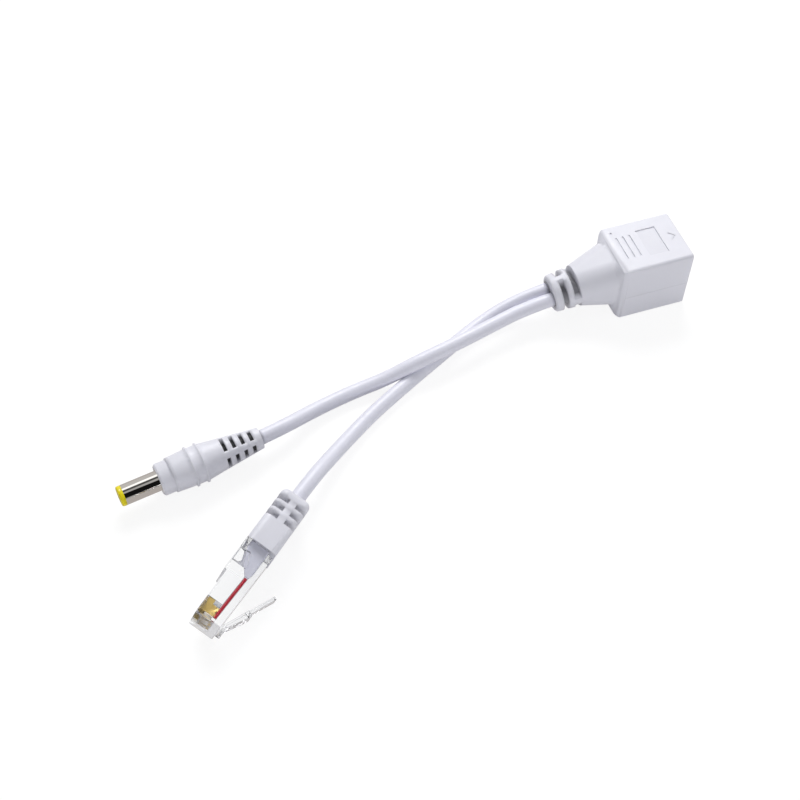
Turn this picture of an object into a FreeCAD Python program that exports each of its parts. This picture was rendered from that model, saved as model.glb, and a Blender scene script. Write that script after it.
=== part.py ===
import FreeCAD, Part

import math
import os

V = FreeCAD.Vector
X_AXIS = V(1, 0, 0)
Y_AXIS = V(0, 1, 0)
Z_AXIS = V(0, 0, 1)

# Sizes are in millimetres and angles in degrees.
# The origin is under the middle of the socket end, on the surface that it lies on.
# The socket's mouth looks along +X, and the two cords leave towards -X.

# Socket housing, a soft white overmould
housing_length = 22.4
housing_width = 18.4
housing_height = 19.2
housing_top_edge_radius = 1.1
housing_bottom_edge_radius = 0.4
housing_rear_edge_radius = 3.0
housing_mouth_chamfer = 0.3

# Neck and strain relief of the socket housing
neck_length = 9.4
neck_shoulder = 0.7
neck_top_drop = 0.25
neck_base_corner_radius = 5.5
neck_end_diameter = 12.0
neck_end_roundness = 0.98
relief_first_slot = 1.9
relief_ring = 1.6
relief_second_slot = 1.7
relief_collar = 2.2
relief_end_diameter = 10.9
relief_side_rib_height = 2.8
relief_top_rib_width = 1.9
relief_skin = 0.35
relief_edge_chamfer = 0.5
relief_droop = 8.0

# Sunken marks on the top of the housing
mark_depth = 0.25
mark_grooves = 3
mark_groove_width = 0.5
mark_groove_length = 8.4
mark_groove_pitch = 2.0
mark_first_groove = 4.1
mark_dot_diameter = 0.8
mark_dot_inset = 3.45
mark_dot_side = 6.2
mark_panel_start = 10.5
mark_panel_length = 5.9
mark_panel_width = 10.2
mark_arrow_size = 1.5
mark_arrow_setback = 1.6

# Socket insert and its eight contacts
insert_length = 16.0
insert_width = 14.4
insert_setback = 0.6
insert_bottom_wall = 1.1
insert_top_wall = 1.1
socket_depth = 12.5
latch_pocket_height = 3.0
latch_pocket_width = 6.6
latch_pocket_length = 8.0
latch_gate_width = 4.2
latch_gate_length = 2.0
contact_channel_height = 1.7
contact_channel_front_wall = 1.8
contact_count = 8
soldered_pins = ((1,), (2,), (3,), (6,), (4, 5), (7, 8))
contact_pitch = 1.02
contact_slot_width = 0.62
contact_width = 0.46
contact_thickness = 0.3
contact_bend_radius = 0.55
contact_bend_setback = 2.6
contact_reach = 8.0
contact_dip = 2.3
contact_tail = 1.8
carrier_thickness = 2.2
carrier_width = 13.2
carrier_height = 12.6

# Inner mould, solder joints and leads behind the socket insert
inner_mould_size = 12.0
inner_mould_base_diameter = 12.0
inner_mould_end_diameter = 9.2
inner_mould_depth = 9.2
inner_mould_overhang = 2.2
inner_mould_edge_radius = 1.5
data_lead_bundle_offset = 0.68
data_leads_on_top = (0, 3)
data_lead_bend_share = 0.6
data_lead_straight = (1.3, 0.7, 0.7, 0.7)
data_wire_diameter = 0.84
power_lead_diameter = 1.1
power_lead_bend_share = 0.62
power_lead_side_share = 0.6
power_lead_drop_share = 0.8
power_lead_lift_share = 0.1
solder_diameter = 0.92
solder_length = 1.3
solder_wrap = 0.25
solder_tab_wrap = 0.15
cable_end_start = 8.0

# Cords
cord_diameter = 4.0
cord_spacing = 4.1
cord_first_run = 9.0
crossing_gap = 4.0

# Barrel plug
grip_length = 28.7
grip_front_length = 3.4
grip_front_diameter = 8.8
grip_front_edge_radius = 0.5
grip_step = 0.35
grip_body_diameter = 10.1
grip_ridge_diameter = 11.0
grip_ridge_width = 0.8
grip_first_ridge = 9.1
grip_second_ridge = 12.0
grip_taper_start = 16.5
grip_taper_diameter = 8.9
grip_end_diameter = 5.8
grip_window_rows = 4
grip_windows = 4
grip_window_width = 1.1
grip_window_pitch = 2.5
grip_window_first = 2.7
grip_window_angle = 62.0
grip_window_skin = 0.35
barrel_reach = 10.8
barrel_diameter = 5.5
barrel_wall = 0.4
barrel_seat = 7.0
barrel_root_diameter = 6.2
tip_length = 1.3
tip_edge_radius = 0.5
tip_bore_diameter = 2.9
centre_bore_diameter = 2.1
centre_contact_wall = 0.5
centre_contact_seam = 0.4
centre_contact_tail = 3.5
centre_contact_tail_diameter = 1.2
barrel_tab_width = 1.6
dc_mould_diameter = 7.2
dc_mould_front = 3.6
dc_mould_rear = 7.0
dc_cable_end_length = 8.5
dc_lead_offset = 0.85

# Network plug
plug_length = 22.6
plug_width = 11.68
plug_nose_height = 6.9
plug_rear_latch_side = 4.0
plug_rear_contact_side = 4.2
plug_rear_length = 10.2
plug_edge_radius = 0.25
plug_fit_clearance = 0.1
blade_thickness = 0.36
blade_slot_width = 0.58
blade_length = 3.6
blade_setback = 1.4
blade_recess = 0.45
blade_depth = 1.8
blade_prong_depth = 4.3
blade_prong_width = 0.7
blade_heel = 1.1
blade_prong_free = 0.9
blade_prong_slope = 0.3
blade_slot_gap = 0.1
plug_wire_pins = (1, 2, 3, 6)
plug_wire_front_offset = 1.05
plug_wire_rear_offset = 1.55
wire_tunnel_height = 1.05
wire_tunnel_width = 8.4
wire_tunnel_overlap = 0.2
wire_tunnel_end_gap = 0.3
cable_wedge_length = 8.8
cable_wedge_width = 7.8
cable_wedge_clearance = 0.12
cable_wedge_wall = 1.5
cable_wedge_latch_wall = 1.8
cable_wedge_flat = 2.0
cable_wedge_knee_share = 0.7
cable_wedge_knee_depth = 0.9
cable_wedge_shoulder_share = 0.8
cable_wedge_edge_radius = 0.4
clamp_bar_start = 3.3
clamp_bar_length = 3.4
clamp_bar_width = 9.2
clamp_bar_recess = 0.4
clamp_window_margin = 0.4
clamp_window_floor = 1.2
clamp_ramp_low = 2.0
clamp_ramp_high = 3.0
clamp_bar_height = 1.4
clamp_bar_toe_height = 1.9
clamp_bar_heel_height = 1.2
clamp_bar_toe_setback = 0.8
clamp_bar_heel_setback = 0.4
latch_length = 14.8
latch_width = 5.2
latch_finger_width = 3.2
latch_shoulder = 7.2
latch_thickness = 1.0
latch_shoulder_thickness = 1.5
latch_shoulder_ramp = 1.2
latch_finger_thickness = 0.85
latch_angle = 24.0
latch_root_radius = 0.6
latch_root_clearance = 0.05
latch_root_setback = 1.7
latch_root_lift = 0.1
latch_seat_margin = 0.4

# Boot of the network plug
boot_length = 16.8
boot_height = 8.4
boot_width = 11.9
boot_long_edge_radius = 1.8
boot_rear_edge_radius = 1.7
boot_slots = 3
boot_slot_width = 1.4
boot_slot_pitch = 2.5
boot_last_slot = 3.3
boot_slot_depth = 1.3
boot_rib_width = 2.0

# Where the two plugs lie on the surface
dc_plug_heading = 189.5
dc_plug_rear = (-110.8, -21.56)
network_plug_heading = 221.8
network_plug_roll = 20.8
network_plug_rear = (-120.3, -55.95)
rest_gap = 0.02

# How far a cutting block reaches past the surface that it opens
cut_margin = 1.0


def droop_sine():
    """Sine of the angle by which the strain relief hangs down."""
    return math.sin(math.radians(relief_droop))


def droop_cosine():
    """Cosine of the angle by which the strain relief hangs down."""
    return math.cos(math.radians(relief_droop))


# Stations along X that follow from the sizes above
relief_length = relief_first_slot + relief_ring + relief_second_slot + relief_collar
neck_reach = neck_length + relief_length
overall_length = housing_length + neck_reach * droop_cosine() + relief_end_diameter / 2 * droop_sine()
mouth_x = overall_length / 2
rear_x = mouth_x - housing_length
axis_z = housing_height / 2
insert_front_x = mouth_x - insert_setback
insert_rear_x = insert_front_x - insert_length
carrier_rear_x = insert_rear_x - carrier_thickness
tail_end_x = carrier_rear_x - contact_tail

# Levels along Z inside the socket insert
socket_height = plug_nose_height + 2 * plug_fit_clearance
socket_width = plug_width + 2 * plug_fit_clearance
insert_walls = insert_bottom_wall + insert_top_wall
insert_height = insert_walls + latch_pocket_height + socket_height + contact_channel_height
insert_bottom_z = axis_z - insert_height / 2
socket_floor_z = insert_bottom_z + insert_bottom_wall + latch_pocket_height
socket_roof_z = socket_floor_z + socket_height
contact_z = socket_roof_z + contact_channel_height / 2

# Points of the cord routes between their ends, chosen by hand along the lie of each cord
crossing_z = cord_diameter / 2 + cord_diameter + crossing_gap
dc_cord_middle = (
    (-39.0, -4.2, 7.4),
    (-50.0, -7.6, crossing_z),
    (-62.5, -10.3, crossing_z),
    (-72.5, -11.3, 7.0),
    (-81.0, -12.4, 3.5),
    (-88.8, -14.5, 2.9),
    (-96.1, -17.5, 4.2),
)
dc_cord_last_run = 7.4
data_cord_middle = (
    (-38.5, 0.4, 3.0),
    (-51.5, -5.6, 2.02),
    (-66.5, -13.3, 2.02),
    (-79.0, -20.9, 2.02),
    (-87.0, -26.2, 2.4),
    (-94.5, -32.2, 4.2),
)
data_cord_last_run = 8.0


def block(x_low, x_high, y_low, y_high, z_low, z_high):
    """Rectangular block between two corners."""
    return Part.makeBox(x_high - x_low, y_high - y_low, z_high - z_low, V(x_low, y_low, z_low))


def rod(start, end, radius):
    """Round rod between two points."""
    run = end - start
    return Part.makeCylinder(radius, run.Length, start, run)


def prism(points, z_low, z_high):
    """Prism of a polygon given by its corners in X and Y."""
    corners = [V(x, y, z_low) for x, y in points]
    corners.append(corners[0])
    return Part.Face(Part.makePolygon(corners)).extrude(V(0, 0, z_high - z_low))


def turned(points):
    """Solid turned about X from a half profile given as pairs of X and radius."""
    corners = [V(x, 0, radius) for x, radius in points]
    corners.append(corners[0])
    return Part.Face(Part.makePolygon(corners)).revolve(V(0, 0, 0), X_AXIS, 360)


def edges_where(shape, test):
    """Edges whose every vertex passes a test."""
    return [edge for edge in shape.Edges if all(test(vertex.Point) for vertex in edge.Vertexes)]


def edges_along(shape, direction):
    """Straight edges that run along one direction."""
    found = []
    for edge in shape.Edges:
        if edge.Curve.TypeId == "Part::GeomLine" and len(edge.Vertexes) == 2:
            run = edge.Vertexes[1].Point - edge.Vertexes[0].Point
            if run.cross(direction).Length < 1e-6:
                found.append(edge)
    return found


def cut_all(shape, tools):
    """Shape with every tool taken away."""
    for tool in tools:
        shape = shape.cut(tool)
    return shape


def rounded_path(points, radii):
    """Wire of straight runs that are joined by tangent arcs, one radius for each inner point."""
    edges = []
    start = points[0]
    for index in range(1, len(points) - 1):
        corner = points[index]
        into = (corner - points[index - 1]).normalize()
        out = (points[index + 1] - corner).normalize()
        half_turn = into.getAngle(out) / 2
        setback = radii[index - 1] * math.tan(half_turn)
        arc_start = corner - into * setback
        arc_end = corner + out * setback
        inward = (out - into).normalize()
        bulge = radii[index - 1] * (1 / math.cos(half_turn) - 1)
        edges.append(Part.LineSegment(start, arc_start).toShape())
        edges.append(Part.Arc(arc_start, corner + inward * bulge, arc_end).toShape())
        start = arc_end
    edges.append(Part.LineSegment(start, points[-1]).toShape())
    return Part.Wire(edges)


def swept_rod(points, radii, diameter):
    """Round rod along a path of runs and arcs."""
    path = rounded_path(points, radii)
    circle = Part.makeCircle(diameter / 2, points[0], points[1] - points[0])
    return path.makePipeShell([Part.Wire(circle)], True, True)


def widest_radii(points):
    """Arc radii of a cord: 0.45 of the shorter run over the tangent of half the turn."""
    radii = []
    for index in range(1, len(points) - 1):
        into = points[index] - points[index - 1]
        out = points[index + 1] - points[index]
        half_turn = into.getAngle(out) / 2
        radii.append(0.45 * min(into.Length, out.Length) / math.tan(half_turn))
    return radii


def cord(name, points):
    """Tube of a free cord, with its radii, length and volume printed."""
    radii = widest_radii(points)
    solid = swept_rod(points, radii, cord_diameter)
    length = rounded_path(points, radii).Length
    plain_volume = math.pi * (cord_diameter / 2) ** 2 * length
    print(name, "length %.1f" % length, "radii", " ".join("%.1f" % radius for radius in radii))
    print(name, "volume %.1f" % solid.Volume, "section times length %.1f" % plain_volume)
    return solid


def drooped(shape):
    """Shape hung down with the strain relief, about the middle of the housing's rear face."""
    hung = shape.copy()
    hung.rotate(V(rear_x, 0, axis_z), Y_AXIS, -relief_droop)
    return hung


def relief_point(distance, side, rise):
    """Point beside the strain relief's axis, at a distance behind the housing's rear face."""
    x = rear_x - distance * droop_cosine() - rise * droop_sine()
    z = axis_z - distance * droop_sine() + rise * droop_cosine()
    return V(x, side, z)


def relief_direction():
    """Direction in which the cords leave the strain relief."""
    return V(-droop_cosine(), 0, -droop_sine())


def contact_y(pin):
    """Place across the socket of one contact, pin 1 on the -Y side."""
    return (pin - (contact_count + 1) / 2) * contact_pitch


def rounded_rectangle(half_y, half_z, radius, x):
    """Closed outline of a rounded rectangle in the plane of one X."""
    flat_y = half_y - radius
    flat_z = half_z - radius
    edges = []
    start = V(x, half_y, -flat_z)
    for quarter in range(4):
        angle = math.radians(90 * quarter)
        turn = FreeCAD.Rotation(X_AXIS, 90 * quarter)
        straight_y = flat_y if quarter % 2 == 0 else flat_z
        straight_z = flat_z if quarter % 2 == 0 else flat_y
        centre = turn.multVec(V(0, straight_y, straight_z))
        line_end = turn.multVec(V(0, straight_y + radius, straight_z))
        arc_middle = centre + V(0, math.cos(angle + math.pi / 4), math.sin(angle + math.pi / 4)) * radius
        arc_end = turn.multVec(V(0, straight_y, straight_z + radius))
        places = [V(x, point.y, point.z) for point in (line_end, arc_middle, arc_end)]
        edges.append(Part.LineSegment(start, places[0]).toShape())
        edges.append(Part.Arc(places[0], places[1], places[2]).toShape())
        start = places[2]
    return Part.Wire(edges)


def housing_shell():
    """Outer form of the housing's box, with its rounded edges."""
    box = block(rear_x, mouth_x, -housing_width / 2, housing_width / 2, 0, housing_height)
    long_edges = edges_along(box, X_AXIS)
    top_edges = [edge for edge in long_edges if edge.Vertexes[0].Point.z > axis_z]
    shell = box.makeFillet(housing_top_edge_radius, top_edges)
    bottom_edges = [edge for edge in edges_along(shell, X_AXIS) if edge.Vertexes[0].Point.z < 1e-6]
    shell = shell.makeFillet(housing_bottom_edge_radius, bottom_edges)
    mouth_rim = edges_where(shell, lambda point: abs(point.x - mouth_x) < 1e-6)
    shell = shell.makeChamfer(housing_mouth_chamfer, mouth_rim)
    for direction in (Y_AXIS, Z_AXIS):
        along = edges_along(box, direction)
        rear_edges = [edge for edge in along if abs(edge.Vertexes[0].Point.x - rear_x) < 1e-6]
        shell = shell.common(box.makeFillet(housing_rear_edge_radius, rear_edges))
    return shell


def relief_radius(distance):
    """Outer radius of the strain relief at a distance behind the housing."""
    share = (distance - neck_length) / relief_length
    return (neck_end_diameter + (relief_end_diameter - neck_end_diameter) * share) / 2


def neck_and_relief():
    """Neck and slotted strain relief, straight behind the housing."""
    base_half_y = housing_width / 2 - neck_shoulder
    base_half_z = housing_height / 2 - neck_shoulder - neck_top_drop
    base_x = rear_x + housing_rear_edge_radius
    base = rounded_rectangle(base_half_y, base_half_z, neck_base_corner_radius, base_x)
    end_half = neck_end_diameter / 2
    end = rounded_rectangle(end_half, end_half, end_half * neck_end_roundness, rear_x - neck_length)
    neck = Part.makeLoft([base, end], True, True)
    neck.translate(V(0, 0, axis_z))
    end_distance = neck_length + relief_length
    relief = Part.makeCone(relief_radius(neck_length), relief_radius(end_distance), relief_length,
                           V(rear_x - neck_length, 0, axis_z), V(-1, 0, 0))
    rim = edges_where(relief, lambda point: abs(point.x - (rear_x - end_distance)) < 1e-6)
    relief = relief.makeChamfer(relief_edge_chamfer, rim)
    core_height = cord_diameter + 2 * relief_skin
    core_flat = cord_spacing / 2
    core = block(rear_x - end_distance, rear_x, -core_flat, core_flat, axis_z - core_height / 2,
                 axis_z + core_height / 2)
    for side in (-core_flat, core_flat):
        core = core.fuse(rod(V(rear_x - end_distance, side, axis_z), V(rear_x, side, axis_z), core_height / 2))
    reach = neck_end_diameter
    first_start = rear_x - neck_length
    first_end = first_start - relief_first_slot
    second_start = first_end - relief_ring
    second_end = second_start - relief_second_slot
    rib = relief_side_rib_height / 2
    for side in (-1, 1):
        near, far = sorted((side * rib, side * reach))
        slot = block(first_end, first_start, -reach, reach, axis_z + near, axis_z + far)
        relief = relief.cut(slot.cut(core))
    rib = relief_top_rib_width / 2
    for side in (-1, 1):
        near, far = sorted((side * rib, side * reach))
        slot = block(second_end, second_start, near, far, axis_z - reach, axis_z + reach)
        relief = relief.cut(slot.cut(core))
    return neck.fuse(relief)


def top_marks():
    """Tools that sink the plain marks into the housing's top."""
    floor = housing_height - mark_depth
    top = housing_height + cut_margin
    tools = []
    for index in range(mark_grooves):
        x = rear_x + mark_first_groove + index * mark_groove_pitch
        tools.append(block(x - mark_groove_width / 2, x + mark_groove_width / 2,
                           -mark_groove_length / 2, mark_groove_length / 2, floor, top))
    panel_x = rear_x + mark_panel_start
    tools.append(block(panel_x, panel_x + mark_panel_length, -mark_panel_width / 2, mark_panel_width / 2,
                       floor, top))
    dot_x = rear_x + mark_dot_inset
    tools.append(rod(V(dot_x, mark_dot_side, floor), V(dot_x, mark_dot_side, top), mark_dot_diameter / 2))
    tip = mouth_x - mark_arrow_setback
    wing = mark_arrow_size
    width = mark_groove_width
    tools.append(prism(((tip, 0), (tip - wing, wing), (tip - wing - width, wing), (tip - width, 0),
                        (tip - wing - width, -wing), (tip - wing, -wing)), floor, top))
    return tools


def insert_envelope():
    """Block that the socket insert fills in the housing."""
    return block(insert_rear_x, insert_front_x, -insert_width / 2, insert_width / 2,
                 insert_bottom_z, insert_bottom_z + insert_height)


def carrier_envelope():
    """Block that the contact carrier fills in the housing."""
    return block(carrier_rear_x, insert_rear_x, -carrier_width / 2, carrier_width / 2,
                 axis_z - carrier_height / 2, axis_z + carrier_height / 2)


def inner_mould_envelope():
    """Hard inner mould around the joints, from the carrier into the neck."""
    half = inner_mould_size / 2
    head = block(rear_x - inner_mould_overhang, carrier_rear_x, -half, half, axis_z - half, axis_z + half)
    head = head.makeFillet(inner_mould_edge_radius, edges_along(head, X_AXIS))
    start = V(rear_x + 2 * neck_shoulder, 0, axis_z)
    cone = Part.makeCone(inner_mould_base_diameter / 2, inner_mould_end_diameter / 2,
                         inner_mould_depth + 2 * neck_shoulder, start, V(-1, 0, 0))
    return head.fuse(drooped(cone))


def socket_cable_end(side):
    """End of one cord inside the neck and the strain relief."""
    start = V(rear_x - cable_end_start, side * cord_spacing / 2, axis_z)
    end = V(rear_x - neck_reach, side * cord_spacing / 2, axis_z)
    return drooped(rod(start, end, cord_diameter / 2))


def socket_overmould():
    """White housing in one piece: box, neck and strain relief."""
    shell = housing_shell().fuse(drooped(neck_and_relief()))
    shell = shell.removeSplitter()
    entrance = block(insert_front_x, mouth_x + cut_margin, -insert_width / 2, insert_width / 2,
                     insert_bottom_z, insert_bottom_z + insert_height)
    tools = [entrance, insert_envelope(), carrier_envelope(), inner_mould_envelope()]
    tools += [socket_cable_end(-1), socket_cable_end(1)]
    return cut_all(shell, tools + top_marks())


def socket_insert():
    """Hard insert with the plug's cavity, the latch pocket and the contact slots."""
    insert = insert_envelope()
    cavity_rear = insert_front_x - socket_depth
    cavity = block(cavity_rear, insert_front_x, -socket_width / 2, socket_width / 2,
                   socket_floor_z, socket_roof_z)
    pocket_floor = insert_bottom_z + insert_bottom_wall
    gate_rear = insert_front_x - latch_gate_length
    gate = block(gate_rear, insert_front_x, -latch_gate_width / 2, latch_gate_width / 2,
                 pocket_floor, socket_floor_z)
    pocket = block(gate_rear - latch_pocket_length, gate_rear, -latch_pocket_width / 2, latch_pocket_width / 2,
                   pocket_floor, socket_floor_z)
    tools = [cavity, gate, pocket]
    for pin in range(1, contact_count + 1):
        y = contact_y(pin)
        tools.append(block(insert_rear_x, insert_front_x - contact_channel_front_wall,
                           y - contact_slot_width / 2, y + contact_slot_width / 2,
                           socket_roof_z, socket_roof_z + contact_channel_height))
    return cut_all(insert, tools)


def contact_path():
    """Middle line of a contact in the plane of X and Z, from its tail to its free end."""
    corner_x = insert_front_x - contact_bend_setback + 2 * contact_bend_radius
    tip_x = insert_front_x - contact_bend_setback - contact_reach
    points = [V(tail_end_x, 0, contact_z), V(corner_x, 0, contact_z), V(tip_x, 0, socket_roof_z - contact_dip)]
    return rounded_path(points, [contact_bend_radius / 2])


def socket_contact(pin):
    """Spring contact of the socket, a bent strip that slopes down into the cavity."""
    start = V(tail_end_x, contact_y(pin), contact_z)
    half_y = V(0, contact_width / 2, 0)
    half_z = V(0, 0, contact_thickness / 2)
    corners = [start - half_y - half_z, start + half_y - half_z, start + half_y + half_z,
               start - half_y + half_z, start - half_y - half_z]
    path = contact_path()
    path.translate(V(0, contact_y(pin), 0))
    return path.makePipeShell([Part.makePolygon(corners)], True, False)


def socket_solder_joints():
    """Beads of solder on the tails: one each on pins 1, 2, 3 and 6, one on 4 with 5, one on 7 with 8."""
    x_low = tail_end_x - solder_length / 2
    beads = []
    for pins in soldered_pins:
        low = contact_y(pins[0])
        high = contact_y(pins[-1])
        bead = rod(V(x_low, low, contact_z), V(x_low + solder_length, low, contact_z), solder_diameter / 2)
        if high > low:
            bead = bead.fuse(block(x_low, x_low + solder_length, low, high, contact_z - solder_diameter / 2,
                                   contact_z + solder_diameter / 2))
            bead = bead.fuse(rod(V(x_low, high, contact_z), V(x_low + solder_length, high, contact_z),
                                 solder_diameter / 2))
        beads.append(bead)
    return beads


def lead_start(y):
    """Start of a lead, just behind the contact tails."""
    return V(tail_end_x - solder_length / 2, y, contact_z)


def socket_data_lead(index):
    """Insulated lead from a data contact over the power leads to the data cord."""
    start = lead_start(contact_y(plug_wire_pins[index]))
    offset = data_lead_bundle_offset
    side = cord_spacing / 2 + (-offset if index < 2 else offset)
    rise = offset if index in data_leads_on_top else -offset
    end = relief_point(cable_end_start, side, rise)
    points = [start, start - X_AXIS * data_lead_straight[index],
              end - relief_direction() * data_wire_diameter, end]
    return swept_rod(points, [data_wire_diameter * data_lead_bend_share] * 2, data_wire_diameter)


def socket_power_lead(pins, side):
    """Insulated lead from a pair of power contacts, down and under the data leads to the power cord."""
    y = (contact_y(pins[0]) + contact_y(pins[1])) / 2
    start = lead_start(y)
    end_y = -cord_spacing / 2 + side * power_lead_diameter * power_lead_side_share
    end = relief_point(cable_end_start, end_y, 0)
    drop = V(start.x - power_lead_diameter * power_lead_drop_share, y, axis_z - power_lead_diameter)
    points = [start, V(drop.x, y, contact_z), drop, end - relief_direction() * power_lead_diameter, end]
    return swept_rod(points, [power_lead_diameter * power_lead_bend_share] * 3, power_lead_diameter)


def barrel_plug_place(shape):
    """Shape of the barrel plug, whose tip looks along its own +X, laid on the surface."""
    placement = FreeCAD.Placement(V(dc_plug_rear[0], dc_plug_rear[1], grip_ridge_diameter / 2 + rest_gap),
                                  FreeCAD.Rotation(Z_AXIS, dc_plug_heading))
    return shape.transformed(placement.toMatrix())


def barrel_grip():
    """White grip of the barrel plug, with its step, ridges, tapered relief and windows."""
    front = grip_length
    front_radius = grip_front_diameter / 2
    body_radius = grip_body_diameter / 2
    ridge_radius = grip_ridge_diameter / 2
    profile = [(0, 0), (0, grip_end_diameter / 2)]
    profile.append((front - grip_taper_start, grip_taper_diameter / 2))
    for ridge in (grip_second_ridge, grip_first_ridge):
        middle = front - ridge
        profile.append((middle - grip_ridge_width / 2, body_radius))
        profile.append((middle - grip_ridge_width / 4, ridge_radius))
        profile.append((middle + grip_ridge_width / 4, ridge_radius))
        profile.append((middle + grip_ridge_width / 2, body_radius))
    profile.append((front - grip_front_length, front_radius + grip_step))
    profile.append((front - grip_front_length, front_radius))
    profile.append((front - grip_front_edge_radius, front_radius))
    profile.append((front, front_radius - grip_front_edge_radius))
    profile.append((front, 0))
    grip = turned(profile)
    core = rod(V(0, 0, 0), V(front, 0, 0), cord_diameter / 2 + grip_window_skin)
    reach = grip_body_diameter
    half_angle = math.radians(grip_window_angle / 2)
    half_span = reach * math.tan(half_angle)
    for row in range(grip_window_rows):
        for window in range(grip_windows):
            x = grip_window_first + window * grip_window_pitch
            corners = [V(x - grip_window_width / 2, 0, 0), V(x - grip_window_width / 2, -half_span, reach),
                       V(x - grip_window_width / 2, half_span, reach), V(x - grip_window_width / 2, 0, 0)]
            sector = Part.Face(Part.makePolygon(corners)).extrude(V(grip_window_width, 0, 0))
            sector.rotate(V(0, 0, 0), X_AXIS, 360 * row / grip_window_rows)
            grip = grip.cut(sector.cut(core))
    return grip


def barrel_tip_x():
    """Place of the barrel's tip along the plug's own X."""
    return grip_length + barrel_reach


def barrel_envelope(front):
    """Outer form of the barrel up to one X: its wider root, flush with the grip, then the plain barrel."""
    rear = grip_length - barrel_seat
    root = rod(V(rear, 0, 0), V(grip_length, 0, 0), barrel_root_diameter / 2)
    return root.fuse(rod(V(rear, 0, 0), V(front, 0, 0), barrel_diameter / 2)).removeSplitter()


def barrel_sleeve():
    """Plated outer sleeve of the barrel, with its wider root and its solder tab."""
    rear = grip_length - barrel_seat
    sleeve = barrel_envelope(barrel_tip_x() - tip_length)
    sleeve = sleeve.cut(rod(V(rear, 0, 0), V(barrel_tip_x(), 0, 0), barrel_diameter / 2 - barrel_wall))
    tab_start = rear - dc_mould_rear / 2
    tab = block(tab_start, rear, -barrel_tab_width / 2, barrel_tab_width / 2,
                -barrel_diameter / 2, -barrel_diameter / 2 + barrel_wall)
    return sleeve.fuse(tab).removeSplitter()


def barrel_insulator():
    """Yellow insulator: a rounded tip ring and the tube between sleeve and centre contact."""
    rear = grip_length - barrel_seat
    tube_radius = barrel_diameter / 2 - barrel_wall
    contact_radius = centre_bore_diameter / 2 + centre_contact_wall
    tip_rear = barrel_tip_x() - tip_length
    tip = rod(V(tip_rear, 0, 0), V(barrel_tip_x(), 0, 0), barrel_diameter / 2)
    rim = edges_where(tip, lambda point: abs(point.x - barrel_tip_x()) < 1e-6)
    tip = tip.makeFillet(tip_edge_radius, rim)
    body = tip.fuse(rod(V(rear, 0, 0), V(tip_rear, 0, 0), tube_radius))
    body = body.cut(rod(V(rear, 0, 0), V(tip_rear, 0, 0), contact_radius))
    return body.cut(rod(V(tip_rear, 0, 0), V(barrel_tip_x(), 0, 0), tip_bore_diameter / 2)).removeSplitter()


def centre_contact():
    """Rolled centre contact with an open seam, and its solder tail."""
    rear = grip_length - barrel_seat
    front = barrel_tip_x() - tip_length
    radius = centre_bore_diameter / 2 + centre_contact_wall
    floor = rear + centre_contact_wall
    contact = rod(V(rear, 0, 0), V(front, 0, 0), radius)
    contact = contact.cut(rod(V(floor, 0, 0), V(front, 0, 0), centre_bore_diameter / 2))
    half_seam = centre_contact_seam / 2
    contact = contact.cut(block(floor + radius, front, -half_seam, half_seam, 0, radius))
    tail = rod(V(rear - centre_contact_tail, 0, 0), V(rear, 0, 0), centre_contact_tail_diameter / 2)
    return contact.fuse(tail).removeSplitter()


def barrel_cable_end():
    """End of the power cord inside the grip."""
    return rod(V(0, 0, 0), V(dc_cable_end_length, 0, 0), cord_diameter / 2)


def barrel_lead(tail_x, tail_z, side):
    """Lead from the cord's end to one tail of the barrel."""
    start = V(dc_cable_end_length, 0, side * dc_lead_offset)
    end = V(tail_x, 0, tail_z)
    points = [start, start + X_AXIS * power_lead_diameter, end - X_AXIS * power_lead_diameter, end]
    return swept_rod(points, [power_lead_diameter] * 2, power_lead_diameter)


def barrel_positive_lead():
    """Lead to the centre contact's tail."""
    tail_x = grip_length - barrel_seat - centre_contact_tail
    return barrel_lead(tail_x, power_lead_diameter * power_lead_lift_share, 1)


def barrel_negative_lead():
    """Lead to the sleeve's tab."""
    tail_x = grip_length - barrel_seat - dc_mould_rear / 2
    return barrel_lead(tail_x, -barrel_diameter / 2 + barrel_wall / 2, -1)


def barrel_solder_joints():
    """Beads of solder on the centre contact's tail and on the sleeve's tab."""
    tail_x = grip_length - barrel_seat - centre_contact_tail
    tab_x = grip_length - barrel_seat - dc_mould_rear / 2
    half = solder_length / 2
    radius = centre_contact_tail_diameter / 2 + solder_wrap
    first = rod(V(tail_x - half, 0, 0), V(tail_x + half, 0, 0), radius)
    level = -barrel_diameter / 2 + barrel_wall / 2
    half_width = barrel_tab_width / 2 + solder_tab_wrap
    half_height = power_lead_diameter / 2 + solder_tab_wrap
    second = block(tab_x - half, tab_x + half, -half_width, half_width,
                   level - half_height, level + half_height)
    return [first, second]


def barrel_inner_mould():
    """Hard inner mould around the joints of the barrel plug."""
    front = grip_length - dc_mould_front
    rear = grip_length - barrel_seat - dc_mould_rear
    return rod(V(rear, 0, 0), V(front, 0, 0), dc_mould_diameter / 2)


def network_plug_height():
    """Height of the network plug's axis when its rolled body lies on one edge."""
    roll = math.radians(network_plug_roll)
    return plug_rear_latch_side * math.sin(roll) + plug_width / 2 * math.cos(roll) + rest_gap


def network_plug_placement():
    """Placement of the network plug: tip along its own +X, latch on +Y, upper side on +Z."""
    turn = FreeCAD.Rotation(Z_AXIS, network_plug_heading)
    roll = FreeCAD.Rotation(X_AXIS, -network_plug_roll)
    return FreeCAD.Placement(V(network_plug_rear[0], network_plug_rear[1], network_plug_height()), turn * roll)


def blade_z(pin):
    """Place across the plug of one blade, pin 1 on the +Z side."""
    return -contact_y(pin)


def wire_y(x):
    """Height of the wires in the plug at a place along its length."""
    share = (x - cable_wedge_length) / (plug_length - blade_setback - cable_wedge_length)
    return plug_wire_rear_offset + (plug_wire_front_offset - plug_wire_rear_offset) * share


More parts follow.
